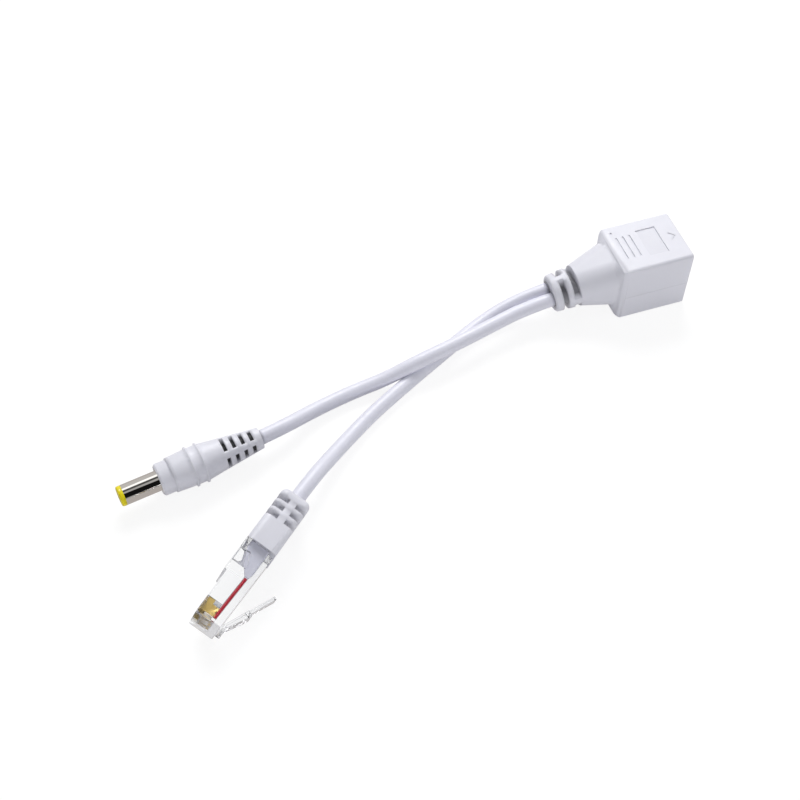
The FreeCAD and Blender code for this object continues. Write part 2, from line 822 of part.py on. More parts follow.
def wedge_outline(grow):
    """Side outline of the cord's flattened end in the plug, grown by a clearance."""
    low = cable_wedge_wall - plug_rear_contact_side - grow
    high = plug_rear_contact_side - cable_wedge_latch_wall + grow
    front = cable_wedge_length
    tip = wire_y(front)
    half_wire = data_wire_diameter / 2 + grow
    knee = (front * cable_wedge_knee_share, -cable_wedge_knee_depth - grow)
    return ((0, low), (cable_wedge_flat, low), knee, (front, tip - half_wire), (front, tip + half_wire),
            (front * cable_wedge_shoulder_share, high), (0, high))


def plug_body_form():
    """Outer form of the clear plug body, with the latch's seat on its nose."""
    nose = plug_nose_height / 2
    outline = ((0, -plug_rear_contact_side), (plug_rear_length, -plug_rear_contact_side),
               (plug_rear_length, -nose), (plug_length, -nose), (plug_length, nose),
               (plug_rear_length, (nose + plug_rear_latch_side) / 2), (0, plug_rear_latch_side))
    body = prism(outline, -plug_width / 2, plug_width / 2)
    body = body.makeFillet(plug_edge_radius, body.Edges)
    hinge = latch_hinge()
    seat_top = hinge.y + latch_root_radius
    seat_half = latch_width / 2 + latch_seat_margin
    seat = block(hinge.x, plug_length - plug_edge_radius, nose - plug_edge_radius, seat_top,
                 -seat_half, seat_half)
    groove = rod(V(hinge.x, hinge.y, -plug_width), V(hinge.x, hinge.y, plug_width),
                 latch_root_radius + latch_root_clearance)
    return body.fuse(seat.cut(groove)).removeSplitter()


def latch_hinge():
    """Line about which the latch bends, as a point in the plug's own frame."""
    nose = plug_nose_height / 2
    return V(plug_length - latch_root_setback, nose + latch_root_lift + latch_root_radius, 0)


def plug_body():
    """Clear body of the network plug, hollow for the cord, the wires, the blades and the clamp bar."""
    body = plug_body_form()
    half_wedge = cable_wedge_width / 2 + cable_wedge_clearance
    tunnel_rear = cable_wedge_length - wire_tunnel_overlap
    tunnel_front = plug_length - blade_setback + wire_tunnel_end_gap
    half_tunnel = wire_tunnel_height / 2
    tunnel = prism(((tunnel_rear, wire_y(cable_wedge_length) - half_tunnel),
                    (tunnel_front, wire_y(tunnel_front) - half_tunnel),
                    (tunnel_front, wire_y(tunnel_front) + half_tunnel),
                    (tunnel_rear, wire_y(cable_wedge_length) + half_tunnel)),
                   -wire_tunnel_width / 2, wire_tunnel_width / 2)
    pocket = prism(wedge_outline(cable_wedge_clearance), -half_wedge, half_wedge)
    bar_end = clamp_bar_start + clamp_bar_length
    half_bar = clamp_bar_width / 2
    window = block(clamp_bar_start - clamp_window_margin, bar_end + clamp_window_margin,
                   -plug_rear_contact_side - cut_margin, 0, -half_bar, half_bar)
    window = window.cut(prism(((0, 0), (0, -clamp_window_floor), (clamp_bar_start, -clamp_window_floor),
                               (plug_rear_length, clamp_ramp_low), (plug_rear_length, clamp_ramp_high),
                               (0, clamp_ramp_high)), -plug_width, plug_width))
    body = cut_all(body, [pocket, tunnel, window])
    blade_front = plug_length - blade_setback
    nose = plug_nose_height / 2
    for pin in range(1, contact_count + 1):
        low = blade_z(pin) - blade_slot_width / 2
        high = blade_z(pin) + blade_slot_width / 2
        slot_end = wire_y(blade_front) - half_tunnel + blade_slot_gap
        body = body.cut(block(blade_front - blade_length - blade_slot_gap, blade_front + blade_slot_gap,
                              -nose - cut_margin, slot_end, low, high))
        body = body.cut(block(blade_front, plug_length + cut_margin, -nose - cut_margin, -nose + blade_depth,
                              low, high))
    top = -plug_rear_contact_side + clamp_bar_recess
    toe = (bar_end - clamp_bar_toe_setback, top + clamp_bar_toe_height)
    heel = (clamp_bar_start + clamp_bar_heel_setback, top + clamp_bar_heel_height)
    bar = prism(((clamp_bar_start, top), (bar_end, top), (bar_end, top + clamp_bar_height), toe, heel),
                -half_bar, half_bar)
    return body.fuse(bar).removeSplitter()


def plug_blade(pin):
    """Gold contact blade with two prongs that pierce the wire."""
    front = plug_length - blade_setback
    rear = front - blade_length
    top = -plug_nose_height / 2 + blade_recess
    prong_end = top + blade_prong_depth
    web_end = prong_end - blade_prong_free
    heel = rear + blade_heel
    front_prong = front - blade_prong_width
    rear_prong = heel + blade_prong_width
    outline = ((rear, top), (front, top), (front, prong_end), (front_prong, prong_end),
               (front_prong - blade_prong_slope, web_end), (rear_prong + blade_prong_slope, web_end),
               (rear_prong, prong_end), (heel, prong_end), (heel, top + blade_depth),
               (rear, top + blade_depth))
    z = blade_z(pin)
    return prism(outline, z - blade_thickness / 2, z + blade_thickness / 2)


def plug_wire(pin):
    """Insulated wire from the cord's end to its blade."""
    front = plug_length - blade_setback
    z = blade_z(pin)
    wire = rod(V(cable_wedge_length, wire_y(cable_wedge_length), z), V(front, wire_y(front), z),
               data_wire_diameter / 2)
    return wire.cut(plug_blade(pin))


def plug_cable_end():
    """End of the data cord: round in the boot and pressed flat in the plug."""
    flat = prism(wedge_outline(0), -cable_wedge_width / 2, cable_wedge_width / 2)
    flat = flat.makeFillet(cable_wedge_edge_radius, edges_along(flat, X_AXIS))
    return flat.fuse(rod(V(-boot_length, 0, 0), V(0, 0, 0), cord_diameter / 2))


def plug_boot():
    """White boot over the cord behind the plug, with three slots each side of a rib."""
    half_y = boot_height / 2
    half_z = boot_width / 2
    boot = block(-boot_length, 0, -half_y, half_y, -half_z, half_z)
    boot = boot.makeFillet(boot_long_edge_radius, edges_along(boot, X_AXIS))
    rear = edges_where(boot, lambda point: abs(point.x + boot_length) < 1e-6)
    boot = boot.makeFillet(boot_rear_edge_radius, rear)
    core = block(-boot_length, 0, -half_y + boot_slot_depth, half_y - boot_slot_depth,
                 -half_z + boot_slot_depth, half_z - boot_slot_depth)
    core = core.makeFillet(boot_long_edge_radius / 2, edges_along(core, X_AXIS))
    rib = block(-boot_length, 0, -boot_rib_width / 2, boot_rib_width / 2, -half_z, half_z)
    for index in range(boot_slots):
        x = -boot_length + boot_last_slot + index * boot_slot_pitch
        ring = block(x - boot_slot_width / 2, x + boot_slot_width / 2, -half_y, half_y, -half_z, half_z)
        boot = boot.cut(ring.cut(core).cut(rib))
    return boot.cut(rod(V(-boot_length, 0, 0), V(0, 0, 0), cord_diameter / 2))


def plug_latch():
    """Springy latch of the plug, which bends at its root on the nose."""
    hinge = latch_hinge()
    half = latch_thickness / 2
    finger_top = latch_finger_thickness - half
    shoulder_top = latch_shoulder_thickness - half
    arm = ((0, -half), (latch_length, -half), (latch_length, finger_top), (latch_shoulder, finger_top),
           (latch_shoulder, shoulder_top), (latch_shoulder - latch_shoulder_ramp, shoulder_top), (0, half))
    wide = prism(arm, -latch_width / 2, latch_width / 2)
    trim = latch_width
    for side in (-1, 1):
        near, far = sorted((side * latch_finger_width / 2, side * trim))
        wide = wide.cut(block(latch_shoulder, latch_length + cut_margin, -trim, trim, near, far))
    root = rod(V(0, 0, -latch_width / 2), V(0, 0, latch_width / 2), latch_root_radius)
    latch = wide.fuse(root).removeSplitter()
    latch.rotate(V(0, 0, 0), Y_AXIS, 180)
    latch.rotate(V(0, 0, 0), Z_AXIS, -latch_angle)
    latch.translate(hinge)
    return latch


def network_place(shape):
    """Shape of the network plug, laid on the surface."""
    return shape.transformed(network_plug_placement().toMatrix())


def cord_start(side):
    """Place where one cord leaves the strain relief."""
    return relief_point(neck_reach, side * cord_spacing / 2, 0)


def dc_cord():
    """Power cord, over the data cord to the barrel plug."""
    start = cord_start(-1)
    heading = math.radians(dc_plug_heading)
    forward = V(math.cos(heading), math.sin(heading), 0)
    end = V(dc_plug_rear[0], dc_plug_rear[1], grip_ridge_diameter / 2 + rest_gap)
    points = [start, start + relief_direction() * cord_first_run]
    points += [V(*point) for point in dc_cord_middle]
    points += [end - forward * dc_cord_last_run, end]
    return cord("dc_cord", points)


def data_cord():
    """Data cord, under the power cord to the network plug's boot."""
    start = cord_start(1)
    heading = math.radians(network_plug_heading)
    forward = V(math.cos(heading), math.sin(heading), 0)
    rear = V(network_plug_rear[0], network_plug_rear[1], network_plug_height())
    end = rear - forward * boot_length
    points = [start, start + relief_direction() * cord_first_run]
    points += [V(*point) for point in data_cord_middle]
    points += [end - forward * data_cord_last_run, end]
    return cord("data_cord", points)


def socket_parts():
    """Nodes of the socket end."""
    parts = {"socket_overmould": socket_overmould(), "socket_insert": socket_insert()}
    contacts = [socket_contact(pin) for pin in range(1, contact_count + 1)]
    leads = [socket_data_lead(index) for index in range(len(plug_wire_pins))]
    leads.append(socket_power_lead((4, 5), -1))
    leads.append(socket_power_lead((7, 8), 1))
    cable_ends = [socket_cable_end(-1), socket_cable_end(1)]
    beads = [cut_all(bead, contacts + leads) for bead in socket_solder_joints()]
    joints = Part.makeCompound(beads)
    parts["contact_carrier"] = cut_all(carrier_envelope(), contacts)
    parts["socket_inner_mould"] = cut_all(inner_mould_envelope(), contacts + leads + cable_ends + beads)
    parts["socket_solder_joints"] = joints
    for pin in range(1, contact_count + 1):
        parts["socket_contact_%d" % pin] = contacts[pin - 1]
    for index in range(len(plug_wire_pins)):
        parts["socket_data_lead_%d" % (index + 1)] = leads[index]
    parts["socket_positive_lead"] = leads[-2]
    parts["socket_negative_lead"] = leads[-1]
    parts["socket_dc_cable_end"] = cable_ends[0]
    parts["socket_data_cable_end"] = cable_ends[1]
    return parts


def barrel_plug_parts():
    """Nodes of the barrel plug."""
    sleeve = barrel_sleeve()
    insulator = barrel_insulator()
    contact = centre_contact()
    positive = barrel_positive_lead()
    negative = barrel_negative_lead()
    cable_end = barrel_cable_end()
    joints = [cut_all(bead, [sleeve, contact, positive, negative]) for bead in barrel_solder_joints()]
    barrel = barrel_envelope(barrel_tip_x())
    inner = cut_all(barrel_inner_mould(), [barrel, sleeve, contact, positive, negative] + joints)
    grip = cut_all(barrel_grip(), [barrel, barrel_inner_mould(), positive, negative, cable_end])
    parts = {"dc_grip": grip, "dc_barrel_sleeve": sleeve, "dc_insulator": insulator}
    parts["dc_centre_contact"] = contact
    parts["dc_inner_mould"] = inner
    parts["dc_positive_lead"] = positive
    parts["dc_negative_lead"] = negative
    parts["dc_solder_joints"] = Part.makeCompound(joints)
    parts["dc_cable_end"] = cable_end
    return {name: barrel_plug_place(shape) for name, shape in parts.items()}


def network_plug_parts():
    """Nodes of the network plug."""
    parts = {"plug_boot": plug_boot(), "plug_body": plug_body(), "plug_latch": plug_latch()}
    parts["plug_cable_end"] = plug_cable_end()
    for pin in range(1, contact_count + 1):
        parts["plug_blade_%d" % pin] = plug_blade(pin)
    for index, pin in enumerate(plug_wire_pins):
        parts["plug_wire_%d" % (index + 1)] = plug_wire(pin).cut(parts["plug_cable_end"])
    return {name: network_place(shape) for name, shape in parts.items()}


def main():
    """Build every node and write it as a STEP file."""
    os.makedirs("parts", exist_ok=True)
    nodes = socket_parts()
    nodes["dc_cord"] = dc_cord()
    nodes["data_cord"] = data_cord()
    nodes.update(barrel_plug_parts())
    nodes.update(network_plug_parts())
    for name, shape in nodes.items():
        shape.exportStep("parts/%s.step" % name)
        print("%-24s solids %d volume %.2f" % (name, len(shape.Solids), shape.Volume), shape.isValid())
    hinge = network_plug_placement().multVec(latch_hinge())
    print("latch hinge", hinge, "mouth", mouth_x, "rear", rear_x)


main()
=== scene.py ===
"""Looks of a white passive PoE splitter: a network socket, two cords, a network plug and a barrel plug.

Lengths are in metres. The row frame has its origin under the middle of the socket end, +X out of the
socket's mouth and +Z up.
"""

import logging
import math
from abc import ABC, abstractmethod
from collections.abc import Callable, Iterator
from contextlib import contextmanager
from dataclasses import dataclass
from enum import Enum

import bmesh
import bpy
from mathutils import Matrix, Vector


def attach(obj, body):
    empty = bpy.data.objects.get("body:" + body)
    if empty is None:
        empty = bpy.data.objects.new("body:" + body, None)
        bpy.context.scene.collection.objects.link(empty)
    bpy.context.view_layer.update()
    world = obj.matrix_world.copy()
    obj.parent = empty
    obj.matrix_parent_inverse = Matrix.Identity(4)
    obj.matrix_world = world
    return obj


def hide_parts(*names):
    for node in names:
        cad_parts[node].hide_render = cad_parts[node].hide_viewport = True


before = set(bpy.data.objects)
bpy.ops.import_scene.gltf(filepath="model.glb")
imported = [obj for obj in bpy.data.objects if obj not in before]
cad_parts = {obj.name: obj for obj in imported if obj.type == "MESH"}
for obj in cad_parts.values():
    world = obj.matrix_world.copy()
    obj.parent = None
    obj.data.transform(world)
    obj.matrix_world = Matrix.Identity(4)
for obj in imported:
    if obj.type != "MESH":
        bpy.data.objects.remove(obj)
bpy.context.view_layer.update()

LOG = logging.getLogger("splitter")
Colour = tuple[float, float, float]
Point = tuple[float, float, float]

# In a copied mesh, points closer than the first length are merged, and edges shorter than the second go.
MERGE_LENGTH = 0.000002
SLIVER_LENGTH = 0.000012

# Above the first share a face lies flat along an axis; above the second it meets a flat face smoothly.
FLAT_SHARE = 0.99995
SMOOTH_SHARE = 0.9
NORMAL_WEIGHT = 80

# Slack of a point against a height, and against the long sides of the housing.
LEVEL_SLACK = 0.000001
SIDE_SLACK = 0.00002

# Values between which a noise mask mostly runs.
MASK_LOW = 0.3
MASK_HIGH = 0.7

# Where a Mix node has its mask, its two values and its result, by the kind of value.
MIX_PLACES = {"FLOAT": (0, 2, 3, 0), "RGBA": (0, 6, 7, 2)}

# How far light spreads under a surface, and the shares of that for red, green and blue.
LIGHT_DEPTH = 0.0008
LIGHT_SPREAD = (1.0, 0.95, 0.9)

# Contacts of a network plug or socket, and the distance from one to the next.
PINS = 8
PIN_PITCH = 0.00102

EDGE_SAMPLES = 6
# Name of the point attribute that holds how much painted shade a point gets in a slot or hole.
PAINTED_SHADE_ATTRIBUTE = "recess"
UV_MAP = "UVMap"
UV_PER_METRE = 40.0


class Slot(Enum):
    """Material slots of the record."""

    WHITE = "white_overmould"
    INSERT = "white_insert"
    INNER = "inner_mould"
    SOLDER = "solder"
    NICKEL = "nickel_plate"
    TINNED = "tinned_brass"
    GOLD = "gold_contact"
    YELLOW = "yellow_insulator"
    CLEAR = "clear_plastic"
    JACKET = "cord_jacket"
    PALE_WIRE = "pale_insulation"
    RED_WIRE = "red_insulation"
    BLACK_WIRE = "black_insulation"


class Body(Enum):
    """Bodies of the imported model."""

    ROOT = "root"
    LATCH = "latch"


def linear(red: int, green: int, blue: int) -> Colour:
    """Colour as light, from the three display values of 0 to 255.

    Args:
        red: Display value of red.
        green: Display value of green.
        blue: Display value of blue.

    Returns:
        The colour in linear light.
    """
    shares = [value / 255 for value in (red, green, blue)]
    return tuple(share / 12.92 if share <= 0.04045 else ((share + 0.055) / 1.055) ** 2.4 for share in shares)


def scaled(colour: Colour, share: float) -> Colour:
    """Colour with each channel times a share."""
    return tuple(channel * share for channel in colour)


def solid(colour: Colour) -> tuple[float, float, float, float]:
    """Colour as a node takes it, with full cover."""
    return (*colour, 1.0)


def grey(level: float) -> tuple[float, float, float, float]:
    """Grey of one level as a node takes it."""
    return solid((level, level, level))


class NodeTree:
    """A node tree that is being written, with short ways to add and join nodes."""

    def __init__(self, tree: bpy.types.NodeTree) -> None:
        """Takes a tree and empties it.

        Args:
            tree: The tree to write.
        """
        self.tree = tree
        tree.nodes.clear()

    def give(self, socket: bpy.types.NodeSocket, value: object) -> None:
        """Sets an input to a value, or joins it to an output.

        Args:
            socket: The input.
            value: A plain value, or the output to join.
        """
        if isinstance(value, bpy.types.NodeSocket):
            self.tree.links.new(value, socket)
        else:
            socket.default_value = value

    def add(self, kind: str, *ordered: object, **named: object) -> bpy.types.Node:
        """Adds a node with its properties and inputs.

        Args:
            kind: The node's type.
            *ordered: Values or outputs for the first inputs, in their order.
            **named: Properties, in small letters, and values or outputs for inputs, which start with a
                capital and have underscores for spaces.

        Returns:
            The new node.
        """
        node = self.tree.nodes.new(kind)
        inputs = {name: value for name, value in named.items() if name[0].isupper()}
        for name, value in named.items():
            if name not in inputs:
                setattr(node, name, value)
        for socket, value in zip(node.inputs, ordered):
            self.give(socket, value)
        for name, value in inputs.items():
            self.give(node.inputs[name.replace("_", " ")], value)
        return node

    def calc(self, operation: str, *values: object) -> bpy.types.NodeSocket:
        """Output of a Math node on values or other outputs."""
        return self.add("ShaderNodeMath", *values, operation=operation).outputs[0]

    def mix(
        self, mask: bpy.types.NodeSocket, low: bpy.types.NodeSocket, high: bpy.types.NodeSocket,
    ) -> bpy.types.NodeSocket:
        """Shader that goes from one to another with a mask."""
        return self.add("ShaderNodeMixShader", mask, low, high).outputs[0]

    def blend(self, kind: str, mask: bpy.types.NodeSocket, low: object, high: object) -> bpy.types.NodeSocket:
        """Number or colour that goes from one to another with a mask.

        Args:
            kind: FLOAT for numbers, RGBA for colours.
            mask: Mask of 0 to 1.
            low: Value or output where the mask is 0.
            high: Value or output where the mask is 1.

        Returns:
            The result's output.
        """
        *places, result = MIX_PLACES[kind]
        node = self.add("ShaderNodeMix", data_type=kind)
        for index, value in zip(places, (mask, low, high)):
            self.give(node.inputs[index], value)
        return node.outputs[result]

    def between(self, mask: bpy.types.NodeSocket, low: Colour, high: Colour) -> bpy.types.NodeSocket:
        """Colour that runs from one to another over the usual values of a noise mask.

        Args:
            mask: The noise mask.
            low: Colour where the mask is low.
            high: Colour where the mask is high.

        Returns:
            The colour's output.
        """
        ramp = self.add("ShaderNodeValToRGB", Fac=mask)
        for stop, place, colour in zip(ramp.color_ramp.elements, (MASK_LOW, MASK_HIGH), (low, high)):
            stop.position = place
            stop.color = solid(colour)
        return ramp.outputs["Color"]

    def span(self, mask: bpy.types.NodeSocket, low: float, high: float) -> bpy.types.NodeSocket:
        """Number that runs from one to another over the usual values of a noise mask.

        Args:
            mask: The noise mask.
            low: Number where the mask is low.
            high: Number where the mask is high.

        Returns:
            The number's output.
        """
        ranged = self.add(
            "ShaderNodeMapRange", Value=mask, From_Min=MASK_LOW, From_Max=MASK_HIGH, To_Min=low, To_Max=high,
        )
        return ranged.outputs["Result"]


def group_sockets(
    tree: bpy.types.NodeTree, inputs: dict[str, tuple[str, object]], outputs: dict[str, str],
) -> None:
    """Gives a node group its named sockets.

    Args:
        tree: The group's tree.
        inputs: Each input's name, with its type and default.
        outputs: Each output's name, with its type.
    """
    for name, (kind, default) in inputs.items():
        socket = tree.interface.new_socket(name=name, in_out="INPUT", socket_type=kind)
        if default is not None:
            socket.default_value = default
    for name, kind in outputs.items():
        tree.interface.new_socket(name=name, in_out="OUTPUT", socket_type=kind)


class ShaderGroup(ABC):
    """A shader node group that is built once, and placed in each material with its own values."""

    name: str
    inputs: dict[str, tuple[str, object]]
    outputs: dict[str, str]

    @abstractmethod
    def write(self, nodes: NodeTree, given: bpy.types.Node) -> dict[str, bpy.types.NodeSocket]:
        """Writes the group's nodes.

        Args:
            nodes: The tree being written.
            given: The node that holds the group's inputs.

        Returns:
            The socket of each output of the group.
        """

    def tree(self) -> bpy.types.NodeTree:
        """Builds the group, or finds it where it is already built.

        Returns:
            The group's tree.
        """
        found = bpy.data.node_groups.get(self.name)
        if found is not None:
            return found
        tree = bpy.data.node_groups.new(self.name, "ShaderNodeTree")
        group_sockets(tree, self.inputs, self.outputs)
        nodes = NodeTree(tree)
        nodes.add("NodeGroupOutput", **self.write(nodes, nodes.add("NodeGroupInput")))
        return tree

    def place(self, nodes: NodeTree, **values: object) -> bpy.types.Node:
        """Places the group in a material, with values for its inputs."""
        return nodes.add("ShaderNodeGroup", node_tree=self.tree(), **values)


class MouldedSkin(ShaderGroup):
    """Shader group of a moulded surface: fine pebbles, slow waves and uneven tone."""

    name = "moulded_skin"
    inputs = {
        "Pebbles per Metre": ("NodeSocketFloat", 5000.0),
        "Waves per Metre": ("NodeSocketFloat", 260.0),
        "Wave Share": ("NodeSocketFloat", 0.5),
    }
    outputs = {"Height": "NodeSocketFloat", "Tone": "NodeSocketFloat", "Gloss": "NodeSocketFloat"}
    pebble_smoothness = 0.6
    tone_per_metre = 90.0
    gloss_per_metre = 700.0

    def write(self, nodes: NodeTree, given: bpy.types.Node) -> dict[str, bpy.types.NodeSocket]:
        """Writes the group's nodes.

        Args:
            nodes: The tree being written.
            given: The node that holds the group's inputs.

        Returns:
            The sockets of Height, Tone and Gloss.
        """
        place = nodes.add("ShaderNodeTexCoord").outputs["Object"]
        pebbles = nodes.add(
            "ShaderNodeTexVoronoi", feature="SMOOTH_F1", Vector=place,
            Scale=given.outputs["Pebbles per Metre"], Smoothness=self.pebble_smoothness,
        )
        waves = nodes.add(
            "ShaderNodeTexNoise", Vector=place, Scale=given.outputs["Waves per Metre"], Detail=3.0,
        )
        share = given.outputs["Wave Share"]
        height = nodes.blend("FLOAT", share, pebbles.outputs["Distance"], waves.outputs["Fac"])
        tone = nodes.add(
            "ShaderNodeTexNoise", Vector=place, Scale=self.tone_per_metre, Detail=4.0, Roughness=0.55,
        )
        gloss = nodes.add("ShaderNodeTexNoise", Vector=place, Scale=self.gloss_per_metre, Detail=2.0)
        return {"Height": height, "Tone": tone.outputs["Fac"], "Gloss": gloss.outputs["Fac"]}


class DrawnLines(ShaderGroup):
    """Shader group of a drawn or extruded surface: fine lines along the piece's own UV map."""

    name = "drawn_lines"
    inputs = {"Lines Around": ("NodeSocketFloat", 34.0), "Marks Along": ("NodeSocketFloat", 60.0)}
    outputs = {"Height": "NodeSocketFloat", "Tone": "NodeSocketFloat"}

    def write(self, nodes: NodeTree, given: bpy.types.Node) -> dict[str, bpy.types.NodeSocket]:
        """Writes the group's nodes, with the UV map's second share bent into a ring, so that no seam shows.

        Args:
            nodes: The tree being written.
            given: The node that holds the group's inputs.

        Returns:
            The sockets of Height and Tone.
        """
        place = nodes.add("ShaderNodeUVMap", uv_map=UV_MAP)
        parts = nodes.add("ShaderNodeSeparateXYZ", Vector=place.outputs["UV"])
        turn = nodes.calc("MULTIPLY", parts.outputs["Y"], math.tau)
        across = nodes.calc("COSINE", turn)
        upward = nodes.calc("SINE", turn)
        ring = nodes.add("ShaderNodeCombineXYZ", X=across, Y=upward).outputs["Vector"]
        lines = nodes.add("ShaderNodeTexNoise", Vector=ring, Scale=given.outputs["Lines Around"], Detail=2.0)
        along = nodes.calc("MULTIPLY", parts.outputs["X"], given.outputs["Marks Along"])
        tall = nodes.add("ShaderNodeCombineXYZ", X=across, Y=upward, Z=along).outputs["Vector"]
        marks = nodes.add("ShaderNodeTexNoise", Vector=tall, Scale=1.0, Detail=5.0, Roughness=0.6)
        return {"Height": lines.outputs["Fac"], "Tone": marks.outputs["Fac"]}


class RecessPaintedShade(ShaderGroup):
    """Shader group that paints shade into the colour of slots and holes, by the piece's own attribute."""

    name = "recess_painted_shade"
    inputs = {"Surface": ("NodeSocketColor", grey(0.8)), "Deep": ("NodeSocketColor", grey(0.3))}
    outputs = {"Color": "NodeSocketColor"}

    def write(self, nodes: NodeTree, given: bpy.types.Node) -> dict[str, bpy.types.NodeSocket]:
        """Writes the group's nodes.

        Args:
            nodes: The tree being written.
            given: The node that holds the group's inputs.

        Returns:
            The socket of Color.
        """
        # Painted shade: the colour goes from the surface colour to the shaded one as the attribute rises.
        painted_shade = nodes.add("ShaderNodeAttribute", attribute_type="GEOMETRY", attribute_name=PAINTED_SHADE_ATTRIBUTE)
        surface, deep = given.outputs["Surface"], given.outputs["Deep"]
        return {"Color": nodes.blend("RGBA", painted_shade.outputs["Fac"], surface, deep)}


def material_of(name: str, surface: Callable[[NodeTree], bpy.types.NodeSocket]) -> bpy.types.Material:
    """Material whose shader another function writes.

    Args:
        name: The material's name.
        surface: Writes the shader in a tree and gives its socket.

    Returns:
        The material.
    """
    made = bpy.data.materials.new(name)
    made.use_nodes = True
    nodes = NodeTree(made.node_tree)
    nodes.add("ShaderNodeOutputMaterial", Surface=surface(nodes))
    return made


@dataclass(frozen=True)
class Finish(ABC):
    """Look of one material slot."""

    slot: Slot
    colour: Colour
    roughness: float = 0.4
    tone_spread: float = 0.03

    @abstractmethod
    def surface(self, nodes: NodeTree) -> bpy.types.NodeSocket:
        """Writes the finish's shader.

        Args:
            nodes: The material's tree.

        Returns:
            The shader's socket.
        """

    def material(self) -> bpy.types.Material:
        """Builds the slot's material."""
        return material_of(self.slot.value, self.surface)

    def toned(self, nodes: NodeTree, mask: bpy.types.NodeSocket) -> bpy.types.NodeSocket:
        """The finish's colour, slightly darker where a noise mask is low."""
        return nodes.between(mask, scaled(self.colour, 1 - self.tone_spread), self.colour)


@dataclass(frozen=True)
class Plastic(Finish):
    """Moulded plastic with a fine skin."""

    roughness: float = 0.45
    rough_spread: float = 0.05
    pebble_depth: float = 0.00001
    pebbles_per_metre: float = 4200.0
    wave_share: float = 0.35
    skin_strength: float = 0.8
    under_surface: float = 0.12
    # Share of the colour that is left at full painted shade in slots and holes; 1 paints none.
    painted_shade_share: float = 1.0
    edge_radius: float = 0.00012
    refraction: float = 1.48

    def surface(self, nodes: NodeTree) -> bpy.types.NodeSocket:
        """Writes the plastic's shader.

        Args:
            nodes: The material's tree.

        Returns:
            The shader's socket.
        """
        skin = MouldedSkin().place(
            nodes, Pebbles_per_Metre=self.pebbles_per_metre, Wave_Share=self.wave_share,
        )
        edge = nodes.add("ShaderNodeBevel", samples=EDGE_SAMPLES, Radius=self.edge_radius)
        bump = nodes.add(
            "ShaderNodeBump", Height=skin.outputs["Height"], Distance=self.pebble_depth,
            Strength=self.skin_strength, Normal=edge.outputs["Normal"],
        )
        toned = self.toned(nodes, skin.outputs["Tone"])
        # Painted shade: the colour darkens towards that share where the piece's attribute marks a slot or
        # hole.
        recess = RecessPaintedShade().place(nodes, Surface=toned, Deep=solid(scaled(self.colour, self.painted_shade_share)))
        low, high = self.roughness - self.rough_spread, self.roughness + self.rough_spread
        shader = nodes.add(
            "ShaderNodeBsdfPrincipled", Base_Color=recess.outputs["Color"],
            Roughness=nodes.span(skin.outputs["Gloss"], low, high), Normal=bump.outputs["Normal"],
            Subsurface_Weight=self.under_surface, Subsurface_Radius=LIGHT_SPREAD,
            Subsurface_Scale=LIGHT_DEPTH, IOR=self.refraction,
        )
        return shader.outputs["BSDF"]


@dataclass(frozen=True)
class Jacket(Finish):
    """Extruded cord jacket, with faint lines along it."""

    roughness: float = 0.38
    rough_spread: float = 0.06
    tone_spread: float = 0.035
    pebbles_per_metre: float = 2600.0
    wave_share: float = 0.85
    wave_depth: float = 0.00003
    wave_strength: float = 0.7
    line_depth: float = 0.00001
    line_strength: float = 0.6
    under_surface: float = 0.12

    def surface(self, nodes: NodeTree) -> bpy.types.NodeSocket:
        """Writes the jacket's shader.

        Args:
            nodes: The material's tree.

        Returns:
            The shader's socket.
        """
        lines = DrawnLines().place(nodes)
        skin = MouldedSkin().place(
            nodes, Pebbles_per_Metre=self.pebbles_per_metre, Wave_Share=self.wave_share,
        )
        waves = nodes.add(
            "ShaderNodeBump", Height=skin.outputs["Height"], Distance=self.wave_depth,
            Strength=self.wave_strength,
        )
        bump = nodes.add(
            "ShaderNodeBump", Height=lines.outputs["Height"], Distance=self.line_depth,
            Strength=self.line_strength, Normal=waves.outputs["Normal"],
        )
        low, high = self.roughness - self.rough_spread, self.roughness + self.rough_spread
        shader = nodes.add(
            "ShaderNodeBsdfPrincipled", Base_Color=self.toned(nodes, lines.outputs["Tone"]),
            Roughness=nodes.span(skin.outputs["Gloss"], low, high), Normal=bump.outputs["Normal"],
            Subsurface_Weight=self.under_surface, Subsurface_Radius=LIGHT_SPREAD,
            Subsurface_Scale=LIGHT_DEPTH,
        )
        return shader.outputs["BSDF"]


@dataclass(frozen=True)
class Metal(Finish):
    """Plated or bare metal with fine rubbed marks."""

    roughness: float = 0.15
    rough_shares: tuple[float, float] = (0.8, 1.25)
    tone_spread: float = 0.07
    mark_depth: float = 0.000002
    mark_strength: float = 0.5
    marks_per_metre: float = 3000.0
    wave_share: float = 0.8

    def surface(self, nodes: NodeTree) -> bpy.types.NodeSocket:
        """Writes the metal's shader.

        Args:
            nodes: The material's tree.

        Returns:
            The shader's socket.
        """
        skin = MouldedSkin().place(nodes, Pebbles_per_Metre=self.marks_per_metre, Wave_Share=self.wave_share)
        bump = nodes.add(
            "ShaderNodeBump", Height=skin.outputs["Height"], Distance=self.mark_depth,
            Strength=self.mark_strength,
        )
        low, high = (self.roughness * share for share in self.rough_shares)
        shader = nodes.add(
            "ShaderNodeBsdfPrincipled", Metallic=1.0, Base_Color=self.toned(nodes, skin.outputs["Tone"]),
            Roughness=nodes.span(skin.outputs["Gloss"], low, high), Normal=bump.outputs["Normal"],
        )
        return shader.outputs["BSDF"]


